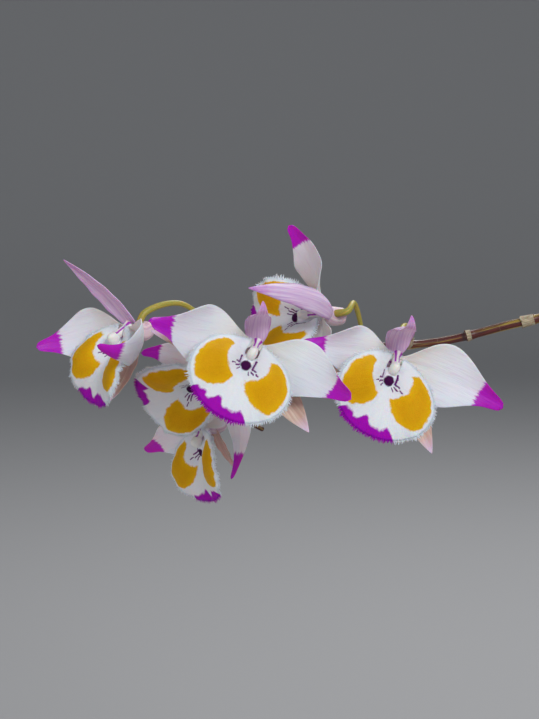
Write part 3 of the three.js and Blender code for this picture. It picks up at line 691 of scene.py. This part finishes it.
SPRAY = np.array([-150.0, -8.0, 250.0])
SPRAY_FLOWERS = [
    {
        "place": (38.1, -10, 1.2), "yaw": 8, "pitch": -4, "roll": 27, "at": 0.752,
        "top": {"az": -22, "lean": 4, "curl": 165, "hook": -235, "size": 0.88, "broad": 0.92},
        "sides": [{"az": 130, "lean": -10, "curl": 16, "cup": 0.5}, {"az": -127, "lean": -42, "curl": -30}],
        "petals": [
            {"az": 81, "lean": -7, "curl": 20, "sweep": 16, "wave": 0.8, "size": 1.07},
            {"az": -108, "lean": -1, "curl": 16, "wave": 2.2, "size": 0.86},
        ],
    },
    {
        "place": (-4, -18, 5.9), "yaw": 7, "pitch": -13, "roll": 30, "at": 0.878, "lift": -3, "arch": -10,
        "top": {"az": -28, "lean": 4, "curl": 172, "hook": -235, "size": 0.82, "broad": 0.93},
        "sides": [{"az": 120, "lean": 4, "curl": 34, "cup": 0.5}, {"az": -108, "lean": 0, "size": 0.97}],
        "petals": [
            {"az": 91, "lean": 0, "curl": 60, "sweep": 8, "wave": 0.8, "size": 1.07, "broad": 0.92},
            {"az": -114, "lean": -4, "curl": 54, "sweep": 8, "wave": 1.5, "size": 1.06},
        ],
    },
    {
        "place": (16.6, 5, 12.8), "yaw": -58, "pitch": -8, "roll": 70, "at": 0.793,
        "size": 0.97, "mouth": 0.88,
        "top": {"az": -8, "lean": 6, "curl": 93, "bend": 0.4, "cup": 0.8, "size": 1.42, "broad": 0.68},
        "sides": [{"az": 195, "lean": -10, "size": 0.85}, {"az": -150, "lean": 8, "curl": 20}],
        "petals": [
            {"az": 82, "lean": 0, "curl": 56},
            {"az": -80, "lean": 1, "curl": 52, "turn": 52, "twist": -106, "size": 0.9, "broad": 0.95},
        ],
    },
    {
        "place": (-43.4, 0, 9.1), "yaw": -50, "pitch": 0, "roll": 8, "at": 0.905, "size": 0.95, "mouth": 0.84,
        "top": {"az": -36, "lean": 26, "curl": 26, "cup": 0.9, "size": 1.04, "broad": 0.75},
        "sides": [{"az": 172, "lean": 4, "curl": 50, "size": 0.84}, {"az": -166, "lean": -22, "curl": 78}],
        "petals": [
            {"az": 94, "lean": -7, "curl": 157, "bend": 1.3, "sweep": 26, "broad": 0.88},
            {"az": -114, "lean": 0, "curl": 74, "sweep": -4},
        ],
    },
    {
        "place": (-16, 3, -7.2), "yaw": -28, "pitch": 32, "roll": 84, "at": 0.93, "size": 0.95, "mouth": 0.92,
        "top": {"az": -25, "lean": -12, "curl": 20, "size": 0.6},
        "sides": [{"az": 175, "lean": -10, "size": 0.75}, {"az": -160, "lean": -30, "size": 0.8}],
        "petals": [
            {"az": 77, "lean": -12, "curl": 52, "sweep": 44, "turn": 44, "size": 1.16, "broad": 0.4},
            {"az": -124, "lean": -4, "curl": 62, "turn": -8, "twist": -40, "size": 0.86, "broad": 0.84},
        ],
    },
    {
        "place": (-20.8, 14, -24.4), "yaw": -52, "pitch": 22, "roll": -12, "at": 0.957,
        "size": 0.88, "mouth": 1.02,
        "top": {"az": -20, "lean": 4, "curl": 36, "size": 0.78},
        "sides": [{"az": 200, "lean": -12, "size": 0.7}, {"az": -100, "lean": -10, "curl": 30}],
        "petals": [
            {"az": 62, "lean": -48, "size": 0.5},
            {"az": -97, "lean": 2, "curl": 16, "turn": 16, "size": 1.12, "broad": 0.8},
        ],
    },
]
PEDICEL_OLIVE, PEDICEL_GREEN = (0.50, 0.37, 0.055, 1), (0.30, 0.33, 0.06, 1)
PEDICEL_RED = (0.22, 0.07, 0.05, 1)


def placed(flower, points):
    """Points of a flower turned about Y by its roll, then X by its pitch, then Z by its yaw, scaled, and
    moved to its place in the spray."""
    points = np.array(points, float)
    for key, a, b in (("roll", 2, 0), ("pitch", 1, 2), ("yaw", 0, 1)):
        cosine, sine = math.cos(math.radians(flower[key])), math.sin(math.radians(flower[key]))
        first, second = points[..., a].copy(), points[..., b].copy()
        points[..., a], points[..., b] = first * cosine - second * sine, first * sine + second * cosine
    return SPRAY + flower["place"] + flower.get("size", 1) * points


def stalk_path(flower):
    """A flower stalk's knots. It leaves the cane square to it and a little upwards, rises by lift, arches
    over and comes down to the flower's neck."""
    at = flower["at"] * (len(flowering_path) - 1)
    along = across_path(flowering_path)[0][round(at)]
    centre = flowering_path[round(at)]
    neck, end = placed(flower, [(0, 6.4, 4.2), (0, 4.4, 1)])
    away = neck - centre
    away = unit(away - along * (away @ along) + [0, 0, 4])
    foot = centre + away * (2.9 - 1.1 * flower["at"] ** 2)
    rise = np.append((foot + 4 * away)[:2], foot[2] + flower.get("lift", 5))
    arch = rise + 0.55 * (neck - rise)
    arch[2] = max(rise[2], neck[2]) + flower.get("arch", 2)
    return centre, away, [foot, rise, arch, neck, end]


pedicel_skin, tree, shader = finish_named("pedicel", 0.45, Subsurface_Weight=0.2, Subsurface_Scale=0.0012)
along, x, y = carried(tree, "along", "round_x", "round_y")
slow = calc(tree, "MULTIPLY", along, 0.12)
where = node(tree, "CombineXYZ", {0: x, 1: y, 2: slow})[0]
streak = noise(tree, where, 2.4, 4)
tone = ramp(tree, streak, 0.38, 0.66)
skin = blend(tree, tone, PEDICEL_OLIVE, PEDICEL_GREEN)
flush = ramp(tree, along, 5.0, 0.0, 0.6)
skin = blend(tree, flush, skin, PEDICEL_RED)
tree.links.new(skin, shader.inputs["Base Color"])

bracts = []
for number, flower in enumerate(SPRAY_FLOWERS, 1):
    centre, away, knots = stalk_path(flower)
    path, length = smooth_path(knots, 70)
    share = np.linspace(0, 1, 70)
    size = flower.get("size", 1)
    turn = np.linspace(0, 2 * np.pi, 18, endpoint=False)
    ribs = 1 + 0.05 * np.sin(6 * turn) * share[:, None] ** 2
    radius = size * (0.72 + 0.46 * share**2)[:, None] * ribs
    points, faces, values = fuse(
        stalk(
            path, radius, 18, 1.0, along=(share * length)[:, None],
            round_x=np.cos(turn) + 0 * share[:, None], round_y=np.sin(turn) + 0 * share[:, None],
        )
    )
    pedicel = mesh_object(f"flower_{number}_stalk", points * MM, faces, values)
    pedicel.data.materials.append(pedicel_skin)
    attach(pedicel, "root")
    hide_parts(f"flower_{number}_pedicel")
    wrap_knots = [centre + 0.5 * away, centre + 1.8 * away, knots[0] + 0.3 * away, *knots[1:3]]
    wrap, tall = smooth_path(wrap_knots, 90)
    bracts.append(sheath(wrap, tall, 0.2, 5.2, 0.95, 0.25, rng, 0.12))
points, faces, values = fuse(*bracts)
bract = mesh_object("bracts", points * MM, faces, values)
bract.data.materials.append(papery)
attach(bract, "root")

# Three narrow sepals, thin and a little waxy, flushed lilac with deeper edges and tips; the lower two are
# fawn, partly their own colour and partly painted shade where they lie in shadow under the flower. Behind the
# flower they join the column's foot in a blunt chin, which takes a little of the same painted shade.

SEPAL_FORM = {"length": 30, "half_width": 4.6, "base": 0.3, "rise": 0.6, "fall": 0.95, "tail": 0}
CHIN_SPINE = [(0, 1.9, -0.9), (0, 3.6, -1.7), (0, 6, -2.2), (0, 8.4, -1.2)]
SEPAL_FEET = {"top": (0, 2.6, 0.6), "right": (1.4, 2.8, -2.2), "left": (-1.4, 2.8, -2.2)}
# How much of the fawn, partly painted shade, the lower sepals take.
SIDE_SHADE_TINT = 0.8
LILAC, LILAC_PALE, LILAC_DEEP = (0.62, 0.40, 0.70, 1), (0.80, 0.66, 0.82, 1), (0.46, 0.12, 0.56, 1)
FAWN_AND_SHADE, FAWN_AND_SHADE_PALE = (0.62, 0.42, 0.25, 1), (0.78, 0.62, 0.46, 1)


def tepal(form, foot, pose, rows, columns, thickness, **values):
    """A sepal or petal. Its midrib leaves the foot az degrees clockwise from the top, leaning forward by lean
    and on its way by curl t^bend and by hook t^6, and turning round the face by sweep t. Its half-width is
    that of the form: a hump of t^rise (1-t)^fall, a foot of base (1-t)^2 and a tip of tail t^4 (1-t)^0.5. The
    blade is turned about its midrib by turn, twisted by twist, bent forward at its sides by cup, and waves at
    its edges."""
    get = lambda key, plain: pose.get(key, plain)
    t = np.linspace(0, 1, rows)[:, None]
    u = np.linspace(-1, 1, columns)[None]
    angle = lambda t: np.radians(pose["az"] + get("sweep", 0) * t)
    forward = lambda t: np.radians(
        get("lean", 10) + get("curl", 0) * t ** get("bend", 1) + get("hook", 0) * t**6
    )
    half = (np.arange(rows - 1) + 0.5) / (rows - 1)
    a, f = angle(half), forward(half)
    step = np.stack([np.sin(a) * np.cos(f), -np.sin(f), np.cos(a) * np.cos(f)], -1)
    size = get("size", 1)
    midrib = np.vstack([foot, foot + np.cumsum(step, 0) * size * form["length"] / (rows - 1)])
    a, f = angle(t), forward(t)
    spin = np.radians(get("turn", 0) + get("twist", 0) * t)
    flat = np.stack([np.cos(a), 0 * a, -np.sin(a)], -1)
    front = np.stack([-np.sin(a) * np.sin(f), -np.cos(f), -np.cos(a) * np.sin(f)], -1)
    across = flat * np.cos(spin)[..., None] + front * np.sin(spin)[..., None]
    out = front * np.cos(spin)[..., None] - flat * np.sin(spin)[..., None]
    rise, fall, cup = form["rise"], form["fall"], get("cup", 0.5)
    hump = t**rise * (1 - t) ** fall * (rise + fall) ** (rise + fall) / (rise**rise * fall**fall)
    width = form["base"] * (1 - t) ** 2 + hump + form["tail"] * t**4 * (1 - t) ** 0.5
    width = form["half_width"] * width + 0.12
    width = size * get("broad", 1) * width
    ripple = get("wave", 0) * np.sin(2 * np.pi * (get("waves", 1.5) * t + np.where(u > 0, 0.37, 0)))
    flutter = 0.16 * np.sin(2 * np.pi * (4.3 * t + 0.3 * np.sign(u)) + pose["az"]) * np.minimum(width / 4, 1)
    groove = 0.25 * np.exp(-((u / 0.12) ** 2)) * (1 - t)
    lift = width * (1 - np.cos(cup * u)) / cup + (ripple + flutter) * u**2 - groove
    middle = midrib[:, None] + (width * np.sin(cup * u) / cup)[..., None] * across + lift[..., None] * out
    thick = thickness * (0.35 + 0.65 * (1 - np.abs(u) ** 3)) * (1 - 0.45 * t)
    veins = u * width / (form["half_width"] * size)
    return blade(middle, thick, along=t + 0 * u, across=u + 0 * t, vein=veins, **values)


sepal_skin, tree, shader = finish_named(
    "sepal", 0.5, Subsurface_Weight=0.3, Subsurface_Scale=0.0012, Specular_IOR_Level=0.3
)
along, across, vein, tint = carried(tree, "along", "across", "vein", "tint")
place = node(tree, "TexCoord")["Object"]
cloud = noise(tree, place, 260, 4)
where = node(tree, "CombineXYZ", {0: vein, 1: calc(tree, "MULTIPLY", along, 0.22), 2: tint})[0]
lines = noise(tree, where, 9, 3, 0.6)
edge = calc(tree, "ABSOLUTE", across)
edge = ramp(tree, edge, 0.7, 1.0, 0.7)
tip = ramp(tree, along, 0.62, 1.0)
deep = calc(tree, "MAXIMUM", edge, tip)
deep = calc(tree, "MULTIPLY_ADD", deep, cloud, -0.12)
deep = ramp(tree, deep, 0.0, 0.5, 0.8)
lilac = ramp(tree, lines, 0.36, 0.64)
lilac = blend(tree, lilac, LILAC, LILAC_PALE)
lilac = blend(tree, deep, lilac, LILAC_DEEP)
# The fawn is partly the lower sepals' own colour and partly painted shade; the tint value sets how much each
# piece takes.
fawn_and_shade = ramp(tree, lines, 0.3, 0.7)
fawn_and_shade = blend(tree, fawn_and_shade, FAWN_AND_SHADE, FAWN_AND_SHADE_PALE)
fawn_tip = ramp(tree, along, 0.8, 0.97, 0.9)
fawn_and_shade = blend(tree, fawn_tip, fawn_and_shade, LILAC_PALE)
skin = blend(tree, tint, lilac, fawn_and_shade)
tree.links.new(skin, shader.inputs["Base Color"])
roughen(tree, shader, lines, 0.35, 0.0002)

for number, flower in enumerate(SPRAY_FLOWERS, 1):
    chin_path, _ = smooth_path(CHIN_SPINE, 50)
    share = np.linspace(0, 1, 50)
    turn = np.linspace(0, 2 * np.pi, 28, endpoint=False)
    girth = 2.55 + 0.5 * np.sin(np.pi * share) + 0.2 * share**2
    seams = 1 - 0.07 * np.exp(-((np.cos(turn) / 0.16) ** 2)) * share[:, None]
    vein = 0.6 * np.sin(turn) + 0 * share[:, None]
    chin = stalk(chin_path, girth[:, None] * seams, 28, 0.42, along=0.15, across=0.0, vein=vein, tint=0.35)
    poses = zip(SEPAL_FEET.values(), (flower["top"], *flower["sides"]), (0.0, SIDE_SHADE_TINT, SIDE_SHADE_TINT))
    shells = [tepal(SEPAL_FORM, np.array(foot), pose, 44, 15, 0.55, tint=tint) for foot, pose, tint in poses]
    points, faces, values = fuse(chin, *shells)
    sepals = mesh_object(f"flower_{number}_sepal_set", placed(flower, points) * MM, faces, values)
    sepals.data.materials.append(sepal_skin)
    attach(sepals, "root")
    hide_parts(f"flower_{number}_sepals")

# Two broad petals, milk white with fine lilac veins and a purple tip whose edge is feathered along the veins.
# Between them stands the short column, white with a purple line down each side, under a white anther cap.

PETAL_FORM = {"length": 33, "half_width": 8.8, "base": 0.1, "rise": 1.7, "fall": 2.6, "tail": 1}
PETAL_FEET = [(1.2, -0.7, -0.2), (-1.2, -0.7, -0.2)]
COLUMN_SPINE = [(0, 0.1, -0.3), (0, -0.9, -0.6), (0, -2.6, -1.6), (0, -4.6, -3), (0, -5.8, -4)]
PETAL_WHITE, PETAL_CREAM, PETAL_VEIN = (0.80, 0.82, 0.88, 1), (0.78, 0.73, 0.60, 1), (0.66, 0.50, 0.74, 1)
COLUMN_WHITE = (0.88, 0.87, 0.84, 1)
PURPLE, PURPLE_BRIGHT = (0.38, 0.0, 0.47, 1), (0.48, 0.005, 0.58, 1)

petal_skin, tree, shader = finish_named(
    "petal", 0.48, Subsurface_Weight=0.35, Subsurface_Scale=0.0014, Specular_IOR_Level=0.3
)
along, vein = carried(tree, "along", "vein")
place = node(tree, "TexCoord")["Object"]
cloud = noise(tree, place, 240, 5, 0.6)
where = node(tree, "CombineXYZ", {0: vein, 1: calc(tree, "MULTIPLY", along, 0.3)})[0]
lines = node(
    tree, "TexNoise", {"Vector": where, "Scale": 11, "Detail": 3, "Roughness": 0.55, "Distortion": 0.4}
)["Fac"]
fine = noise(tree, where, 34, 2)
pale_vein = ramp(tree, lines, 0.56, 0.68, 0.32)
skin = blend(tree, pale_vein, PETAL_WHITE, PETAL_VEIN)
cream = ramp(tree, along, 0.42, 0.0, 0.6)
skin = blend(tree, cream, skin, PETAL_CREAM)
flush = ramp(tree, along, 0.35, 0.8, 0.22)
skin = blend(tree, flush, skin, PETAL_VEIN)
feather = calc(tree, "MULTIPLY_ADD", lines, 0.09, along)
feather = calc(tree, "MULTIPLY_ADD", fine, 0.05, feather)
feather = calc(tree, "MULTIPLY_ADD", cloud, 0.06, feather)
tip = ramp(tree, feather, 0.838, 0.868)
dark = blend(tree, lines, PURPLE, PURPLE_BRIGHT)
skin = blend(tree, tip, skin, dark)
tree.links.new(skin, shader.inputs["Base Color"])
relief = calc(tree, "MULTIPLY_ADD", fine, 0.4, lines)
roughen(tree, shader, relief, 0.4, 0.0003)

column_skin, tree, shader = finish_named("column", 0.4, Subsurface_Weight=0.3, Subsurface_Scale=0.001)
(side,) = carried(tree, "across")
line = ramp(tree, side, 0.70, 0.84)
line_end = ramp(tree, side, 0.99, 0.93)
line = calc(tree, "MULTIPLY", line, line_end)
skin = blend(tree, line, COLUMN_WHITE, PURPLE)
tree.links.new(skin, shader.inputs["Base Color"])

for number, flower in enumerate(SPRAY_FLOWERS, 1):
    pairs = zip(PETAL_FEET, flower["petals"])
    shells = [tepal(PETAL_FORM, np.array(foot), pose, 56, 27, 0.42) for foot, pose in pairs]
    points, faces, values = fuse(*shells)
    petals = mesh_object(f"flower_{number}_petal_pair", placed(flower, points) * MM, faces, values)
    petals.data.materials.append(petal_skin)
    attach(petals, "root")
    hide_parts(f"flower_{number}_petals")

    spine, _ = smooth_path(COLUMN_SPINE, 60)
    share = np.linspace(0, 1, 60)
    turn = np.linspace(0, 2 * np.pi, 30, endpoint=False)
    cap = 0.34 * np.exp(-(((share - 0.86) / 0.18) ** 4)) - 0.1 * np.exp(-(((share - 0.6) / 0.04) ** 2))
    girth = 1.12 + np.maximum(0, 0.2 - share) * 4.2 + cap
    flat = 1 + (0.3 + 0.55 * share[:, None] ** 4) * np.abs(np.cos(turn)) ** 3
    points, faces, values = fuse(
        stalk(
            spine, girth[:, None] * flat, 30, 0.7, along=share[:, None],
            across=np.abs(np.cos(turn))[None] * (share[:, None] < 0.72),
        )
    )
    column = mesh_object(f"flower_{number}_column", placed(flower, points) * MM, faces, values)
    column.data.materials.append(column_skin)
    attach(column, "root")

# The lip is a round white trumpet, velvety inside, with two yellow patches, a purple throat and a purple
# patch at its tip. The yellow darkens towards the middle of each patch: painted shade. Its whole edge is cut
# into a fine fringe.

CALLUS_SPINE = [(0, 0.6, -5.0), (0, -1.4, -5.8), (0, -3.0, -6.9), (0, -4.3, -8.6)]
DISC_CENTRE, DISC_RADIUS, BITE_HEIGHT, BITE_RADIUS = (9.5, -10.4), 7.9, -5.8, 6.4
WHITE_MARGIN, TIP_DEPTH, NOWHERE = 1.3, 3.6, -9.0
LIP_WHITE, LIP_SHADE = (0.84, 0.85, 0.90, 1), (0.70, 0.62, 0.80, 1)
THROAT_STROKES = [
    ((-1.9, -8.2), (-2.9, -8.8), 0.24), ((-2.2, -7.4), (-3.3, -7.6), 0.22), ((-3.5, -8.5), (-4.2, -8.8), 0.2),
    ((-1.5, -9.0), (-2.1, -9.8), 0.18), ((2.5, -7.9), (3.5, -8.2), 0.24), ((2.3, -8.7), (3.2, -9.3), 0.22),
    ((3.9, -8.9), (4.6, -9.2), 0.2), ((1.6, -9.2), (2.1, -10.0), 0.18), ((-2.5, -5.2), (-2.3, -7.3), 0.26),
    ((2.5, -5.0), (2.4, -7.8), 0.26),
]
# The second yellow is the first in painted shade.
YELLOW, YELLOW_SHADED = (0.84, 0.46, 0.0, 1), (0.64, 0.30, 0.0, 1)
THROAT_PURPLE, PURPLE_DEEP = (0.15, 0.0, 0.17, 1), (0.05, 0.0, 0.055, 1)
WOBBLE = 0.35
THROAT_SPOT = (WOBBLE, -7.2, 0.0)


def lip_surface(s, f, mouth):
    """A point of the lip, from the claw at s = 0 to the edge at s = 1, and round it from f = -1 to 1 with 0
    lowest. It goes from a narrow gutter, x and z with s^1.55 and y with 1 - (1-s)^2, to the round mouth. The
    edge waves."""
    opening = np.radians(118 + 55 * s + 14 * np.sin(np.pi * s))
    side, down = np.sin(f * opening), np.cos(f * opening)
    spread, reach = s**1.55, 1 - (1 - s) ** 2
    wave = np.sin(9 * f * np.pi + 1.3) + 0.6 * np.sin(17 * f * np.pi)
    mouth_y = -5.75 * (1 + down) - 1.4 * (1 - down) - 5.5 * side**2
    x = 1.3 * side + (15.5 * mouth * side - 1.3 * side) * spread
    y = 0.4 + (mouth_y - 0.4) * reach + 0.7 * s**6 + 0.26 * wave * s**8
    z = -5.4 - 1.3 * down + (-12.2 - 12.4 * down + 5.4 + 1.3 * down) * spread
    return np.stack([x, y, z], -1)


def lip_marks(points, s, f, mouth, inset, patch):
    """How far inside each marking a point of the lip is, in millimetres. The yellow is two discs less a bite
    under the column, and stays off the edge; the purple is a patch at the tip, deepest in the middle."""
    x, z = points[..., 0] / mouth, points[..., 2]
    disc = DISC_RADIUS - np.hypot(np.abs(x) - DISC_CENTRE[0], z - DISC_CENTRE[1])
    bite = np.hypot(x, z - BITE_HEIGHT) - BITE_RADIUS
    yellow = np.minimum.reduce([disc, bite, np.abs(x) - WHITE_MARGIN, inset - WHITE_MARGIN])
    off = np.abs(f - patch[0]) / patch[1]
    lumps = 1 + 0.26 * np.sin(33 * f + 50 * patch[0]) + 0.16 * np.sin(59 * f)
    depth = TIP_DEPTH * lumps * np.sqrt(np.maximum(1 - off**2, 0)) - 20 * np.maximum(off - 0.95, 0)
    purple = np.where(z < -14, depth - inset, NOWHERE)
    return {"yellow": yellow, "purple": purple, "lip_x": x, "lip_z": z, "ray": f + 0 * s, "reach": s + 0 * f}


def callus():
    """The low cream cushion that closes the lip's gutter in front of the column's foot."""
    path, _ = smooth_path(CALLUS_SPINE, 24)
    turn = np.linspace(0, 2 * np.pi, 24, endpoint=False)
    share = np.linspace(0, 1, 24)
    girth = (1.1 + 1.25 * np.sin(0.8 * np.pi * share))[:, None] * (1 + 0.25 * np.abs(np.cos(turn)))
    points, faces, _ = stalk(path, girth, 24, 0.8)
    return points, faces, {
        "yellow": NOWHERE, "purple": NOWHERE, "lip_x": points[:, 0], "lip_z": points[:, 2],
        "ray": points[:, 0] / 9, "reach": 0.2,
    }


def fringe(rng, count, mouth, patch):
    """The hairs of a lip's edge: flat tapered slips of four rings and a point, each with its own length,
    width and lean, growing on outwards from the edge."""
    f = np.clip(np.linspace(-0.995, 0.995, count) + rng.normal(0, 0.4 / count, count), -1, 1)
    root, inner = lip_surface(np.full(count, 0.998), f, mouth), lip_surface(np.full(count, 0.95), f, mouth)
    edge = np.ones(count)
    beside = unit(lip_surface(edge, f + 0.004, mouth) - lip_surface(edge, f - 0.004, mouth))
    out = unit(unit(root - inner) + rng.normal(0, 0.2, (count, 1)) * beside)
    normal = unit(np.cross(out, beside))
    long = rng.uniform(0.8, 1.5, count) * (0.8 + 0.35 * np.sin(23 * f) ** 2)
    wide = rng.uniform(0.13, 0.24, count)
    t = np.array([-0.35, 0.3, 0.65, 0.9])
    curl = rng.normal(0, 0.25, (count, 1)) * (t**2) * long[:, None]
    spine = root[:, None] + out[:, None] * (t * long[:, None])[..., None] + normal[:, None] * curl[..., None]
    taper = np.array([1.15, 0.85, 0.55, 0.25])
    ring = []
    for a, b in ((1, 0), (0, 0.35), (-1, 0), (0, -0.35)):
        reach = (wide[:, None] * taper)[..., None]
        ring.append(spine + reach * (a * beside[:, None] + b * normal[:, None]))
    rings = np.stack(ring, 2)
    tip = root + out * long[:, None] + normal * curl[:, -1:]
    foot = root - out * (0.4 * long)[:, None]
    points = np.concatenate([rings.reshape(count, -1, 3), foot[:, None], tip[:, None]], 1)
    quads = grid_faces(4, 4, True)
    around, ahead = np.arange(4), np.roll(np.arange(4), -1)
    foot_fan = np.stack([np.full(4, 16), ahead, around], -1)
    ends = np.concatenate([foot_fan, np.stack([np.full(4, 17), 12 + around, 12 + ahead], -1)])
    start = 18 * np.arange(count)[:, None, None]
    marks = lip_marks(root, np.ones(count), f, mouth, np.zeros(count), patch)
    return points, [(quads + start).reshape(-1, 4), (ends + start).reshape(-1, 3)], {
        key: np.repeat(value, 18) for key, value in marks.items()
    }


lip_skin, tree, shader = finish_named(
    "lip", 0.66, Subsurface_Weight=0.25, Subsurface_Scale=0.001, Specular_IOR_Level=0.12, Sheen_Weight=0.02
)
yellow, purple, lip_x, lip_z = carried(tree, "yellow", "purple", "lip_x", "lip_z")
ray, reach, outside = carried(tree, "ray", "reach", "outside")
place = node(tree, "TexCoord")["Object"]
cloud = noise(tree, place, 420, 5, 0.6)
pile = noise(tree, place, 3800, 2)
where = node(tree, "CombineXYZ", {0: ray, 1: calc(tree, "MULTIPLY", reach, 0.12)})[0]
rays = noise(tree, where, 24, 3, 0.6)
shade = ramp(tree, rays, 0.52, 0.70, 0.22)
skin = blend(tree, shade, LIP_WHITE, LIP_SHADE)
wander = calc(tree, "MULTIPLY_ADD", cloud, 2.2, -1.1)
ragged = calc(tree, "MULTIPLY_ADD", rays, 1.4, wander)
gold_room = calc(tree, "ADD", yellow, wander)
gold = ramp(tree, gold_room, -0.15, 0.35)
# Painted shade: the yellow turns darker towards the middle of each patch.
yellow_shade = ramp(tree, gold_room, 0.2, 2.8)
yellow_shade = calc(tree, "MULTIPLY_ADD", yellow_shade, pile, 0.1)
yolk = blend(tree, yellow_shade, YELLOW, YELLOW_SHADED)
indoors = calc(tree, "MULTIPLY_ADD", outside, -0.55, 1.0)
gold = calc(tree, "MULTIPLY", gold, indoors)
skin = blend(tree, gold, skin, yolk)
tip_room = calc(tree, "ADD", purple, ragged)
tip = ramp(tree, tip_room, 0.35, 1.2)
skin = blend(tree, tip, skin, PURPLE)
flat_place = node(tree, "CombineXYZ", {0: lip_x, 1: lip_z})[0]
wobble = node(tree, "TexNoise", {"Vector": place, "Scale": 900, "Detail": 2})["Color"]
wobble = node(tree, "VectorMath", {0: wobble, 1: (2 * WOBBLE, 2 * WOBBLE, 0.0)}, operation="MULTIPLY")[0]
flat_place = node(tree, "VectorMath", {0: flat_place, 1: wobble}, operation="ADD")[0]
nearest = None
for (x0, z0), (x1, z1), wide in THROAT_STROKES:
    start, run = (x0 + WOBBLE, z0 + WOBBLE, 0.0), (x1 - x0, z1 - z0, 0.0)
    offset = node(tree, "VectorMath", {0: flat_place, 1: start}, operation="SUBTRACT")[0]
    share = node(tree, "VectorMath", {0: offset, 1: run}, operation="DOT_PRODUCT")["Value"]
    length_squared = run[0] ** 2 + run[1] ** 2
    share = node(tree, "Math", {0: share, 1: length_squared}, operation="DIVIDE", use_clamp=True)[0]
    along = node(tree, "VectorMath", {0: run, "Scale": share}, operation="SCALE")[0]
    far = node(tree, "VectorMath", {0: offset, 1: along}, operation="DISTANCE")["Value"]
    inside = calc(tree, "SUBTRACT", wide, far)
    nearest = calc(tree, "MAXIMUM", nearest, inside) if nearest else inside
stroke = ramp(tree, nearest, -0.10, 0.10)
skin = blend(tree, stroke, skin, THROAT_PURPLE)
blob = node(tree, "VectorMath", {0: flat_place, 1: THROAT_SPOT}, operation="DISTANCE")["Value"]
blob = ramp(tree, blob, 1.75, 1.35)
skin = blend(tree, blob, skin, PURPLE_DEEP)
tree.links.new(skin, shader.inputs["Base Color"])
relief = calc(tree, "MULTIPLY_ADD", rays, 1.6, pile)
roughen(tree, shader, relief, 0.45, 0.0003)

LIP_ROWS, LIP_COLUMNS, LIP_HAIRS = 44, 161, 380
TIP_PATCHES = [(-0.05, 0.23), (-0.05, 0.22), (0, 0.20), (-0.02, 0.22), (-0.10, 0.16), (0.03, 0.22)]
for number, flower in enumerate(SPRAY_FLOWERS, 1):
    mouth, patch = flower.get("mouth", 1), TIP_PATCHES[number - 1]
    s, f = np.linspace(0, 1, LIP_ROWS)[:, None], np.linspace(1, -1, LIP_COLUMNS)[None]
    surface = lip_surface(s, f, mouth)
    hop = np.linalg.norm(np.diff(surface, axis=0), axis=-1)
    inset = np.vstack([np.cumsum(hop[::-1], 0)[::-1], np.zeros((1, LIP_COLUMNS))])
    marks = lip_marks(surface, s, f, mouth, inset, patch)
    marks["outside"] = np.array([0, 1])[:, None, None]
    hairs = fringe(np.random.default_rng(40 + number), LIP_HAIRS, mouth, patch)
    points, faces, values = fuse(blade(surface, 0.34 - 0.16 * s**3, **marks), callus(), hairs)
    lip = mesh_object(f"flower_{number}_fringed_lip", placed(flower, points) * MM, faces, values)
    lip.data.materials.append(lip_skin)
    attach(lip, "root")
    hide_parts(f"flower_{number}_lip")

low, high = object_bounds()
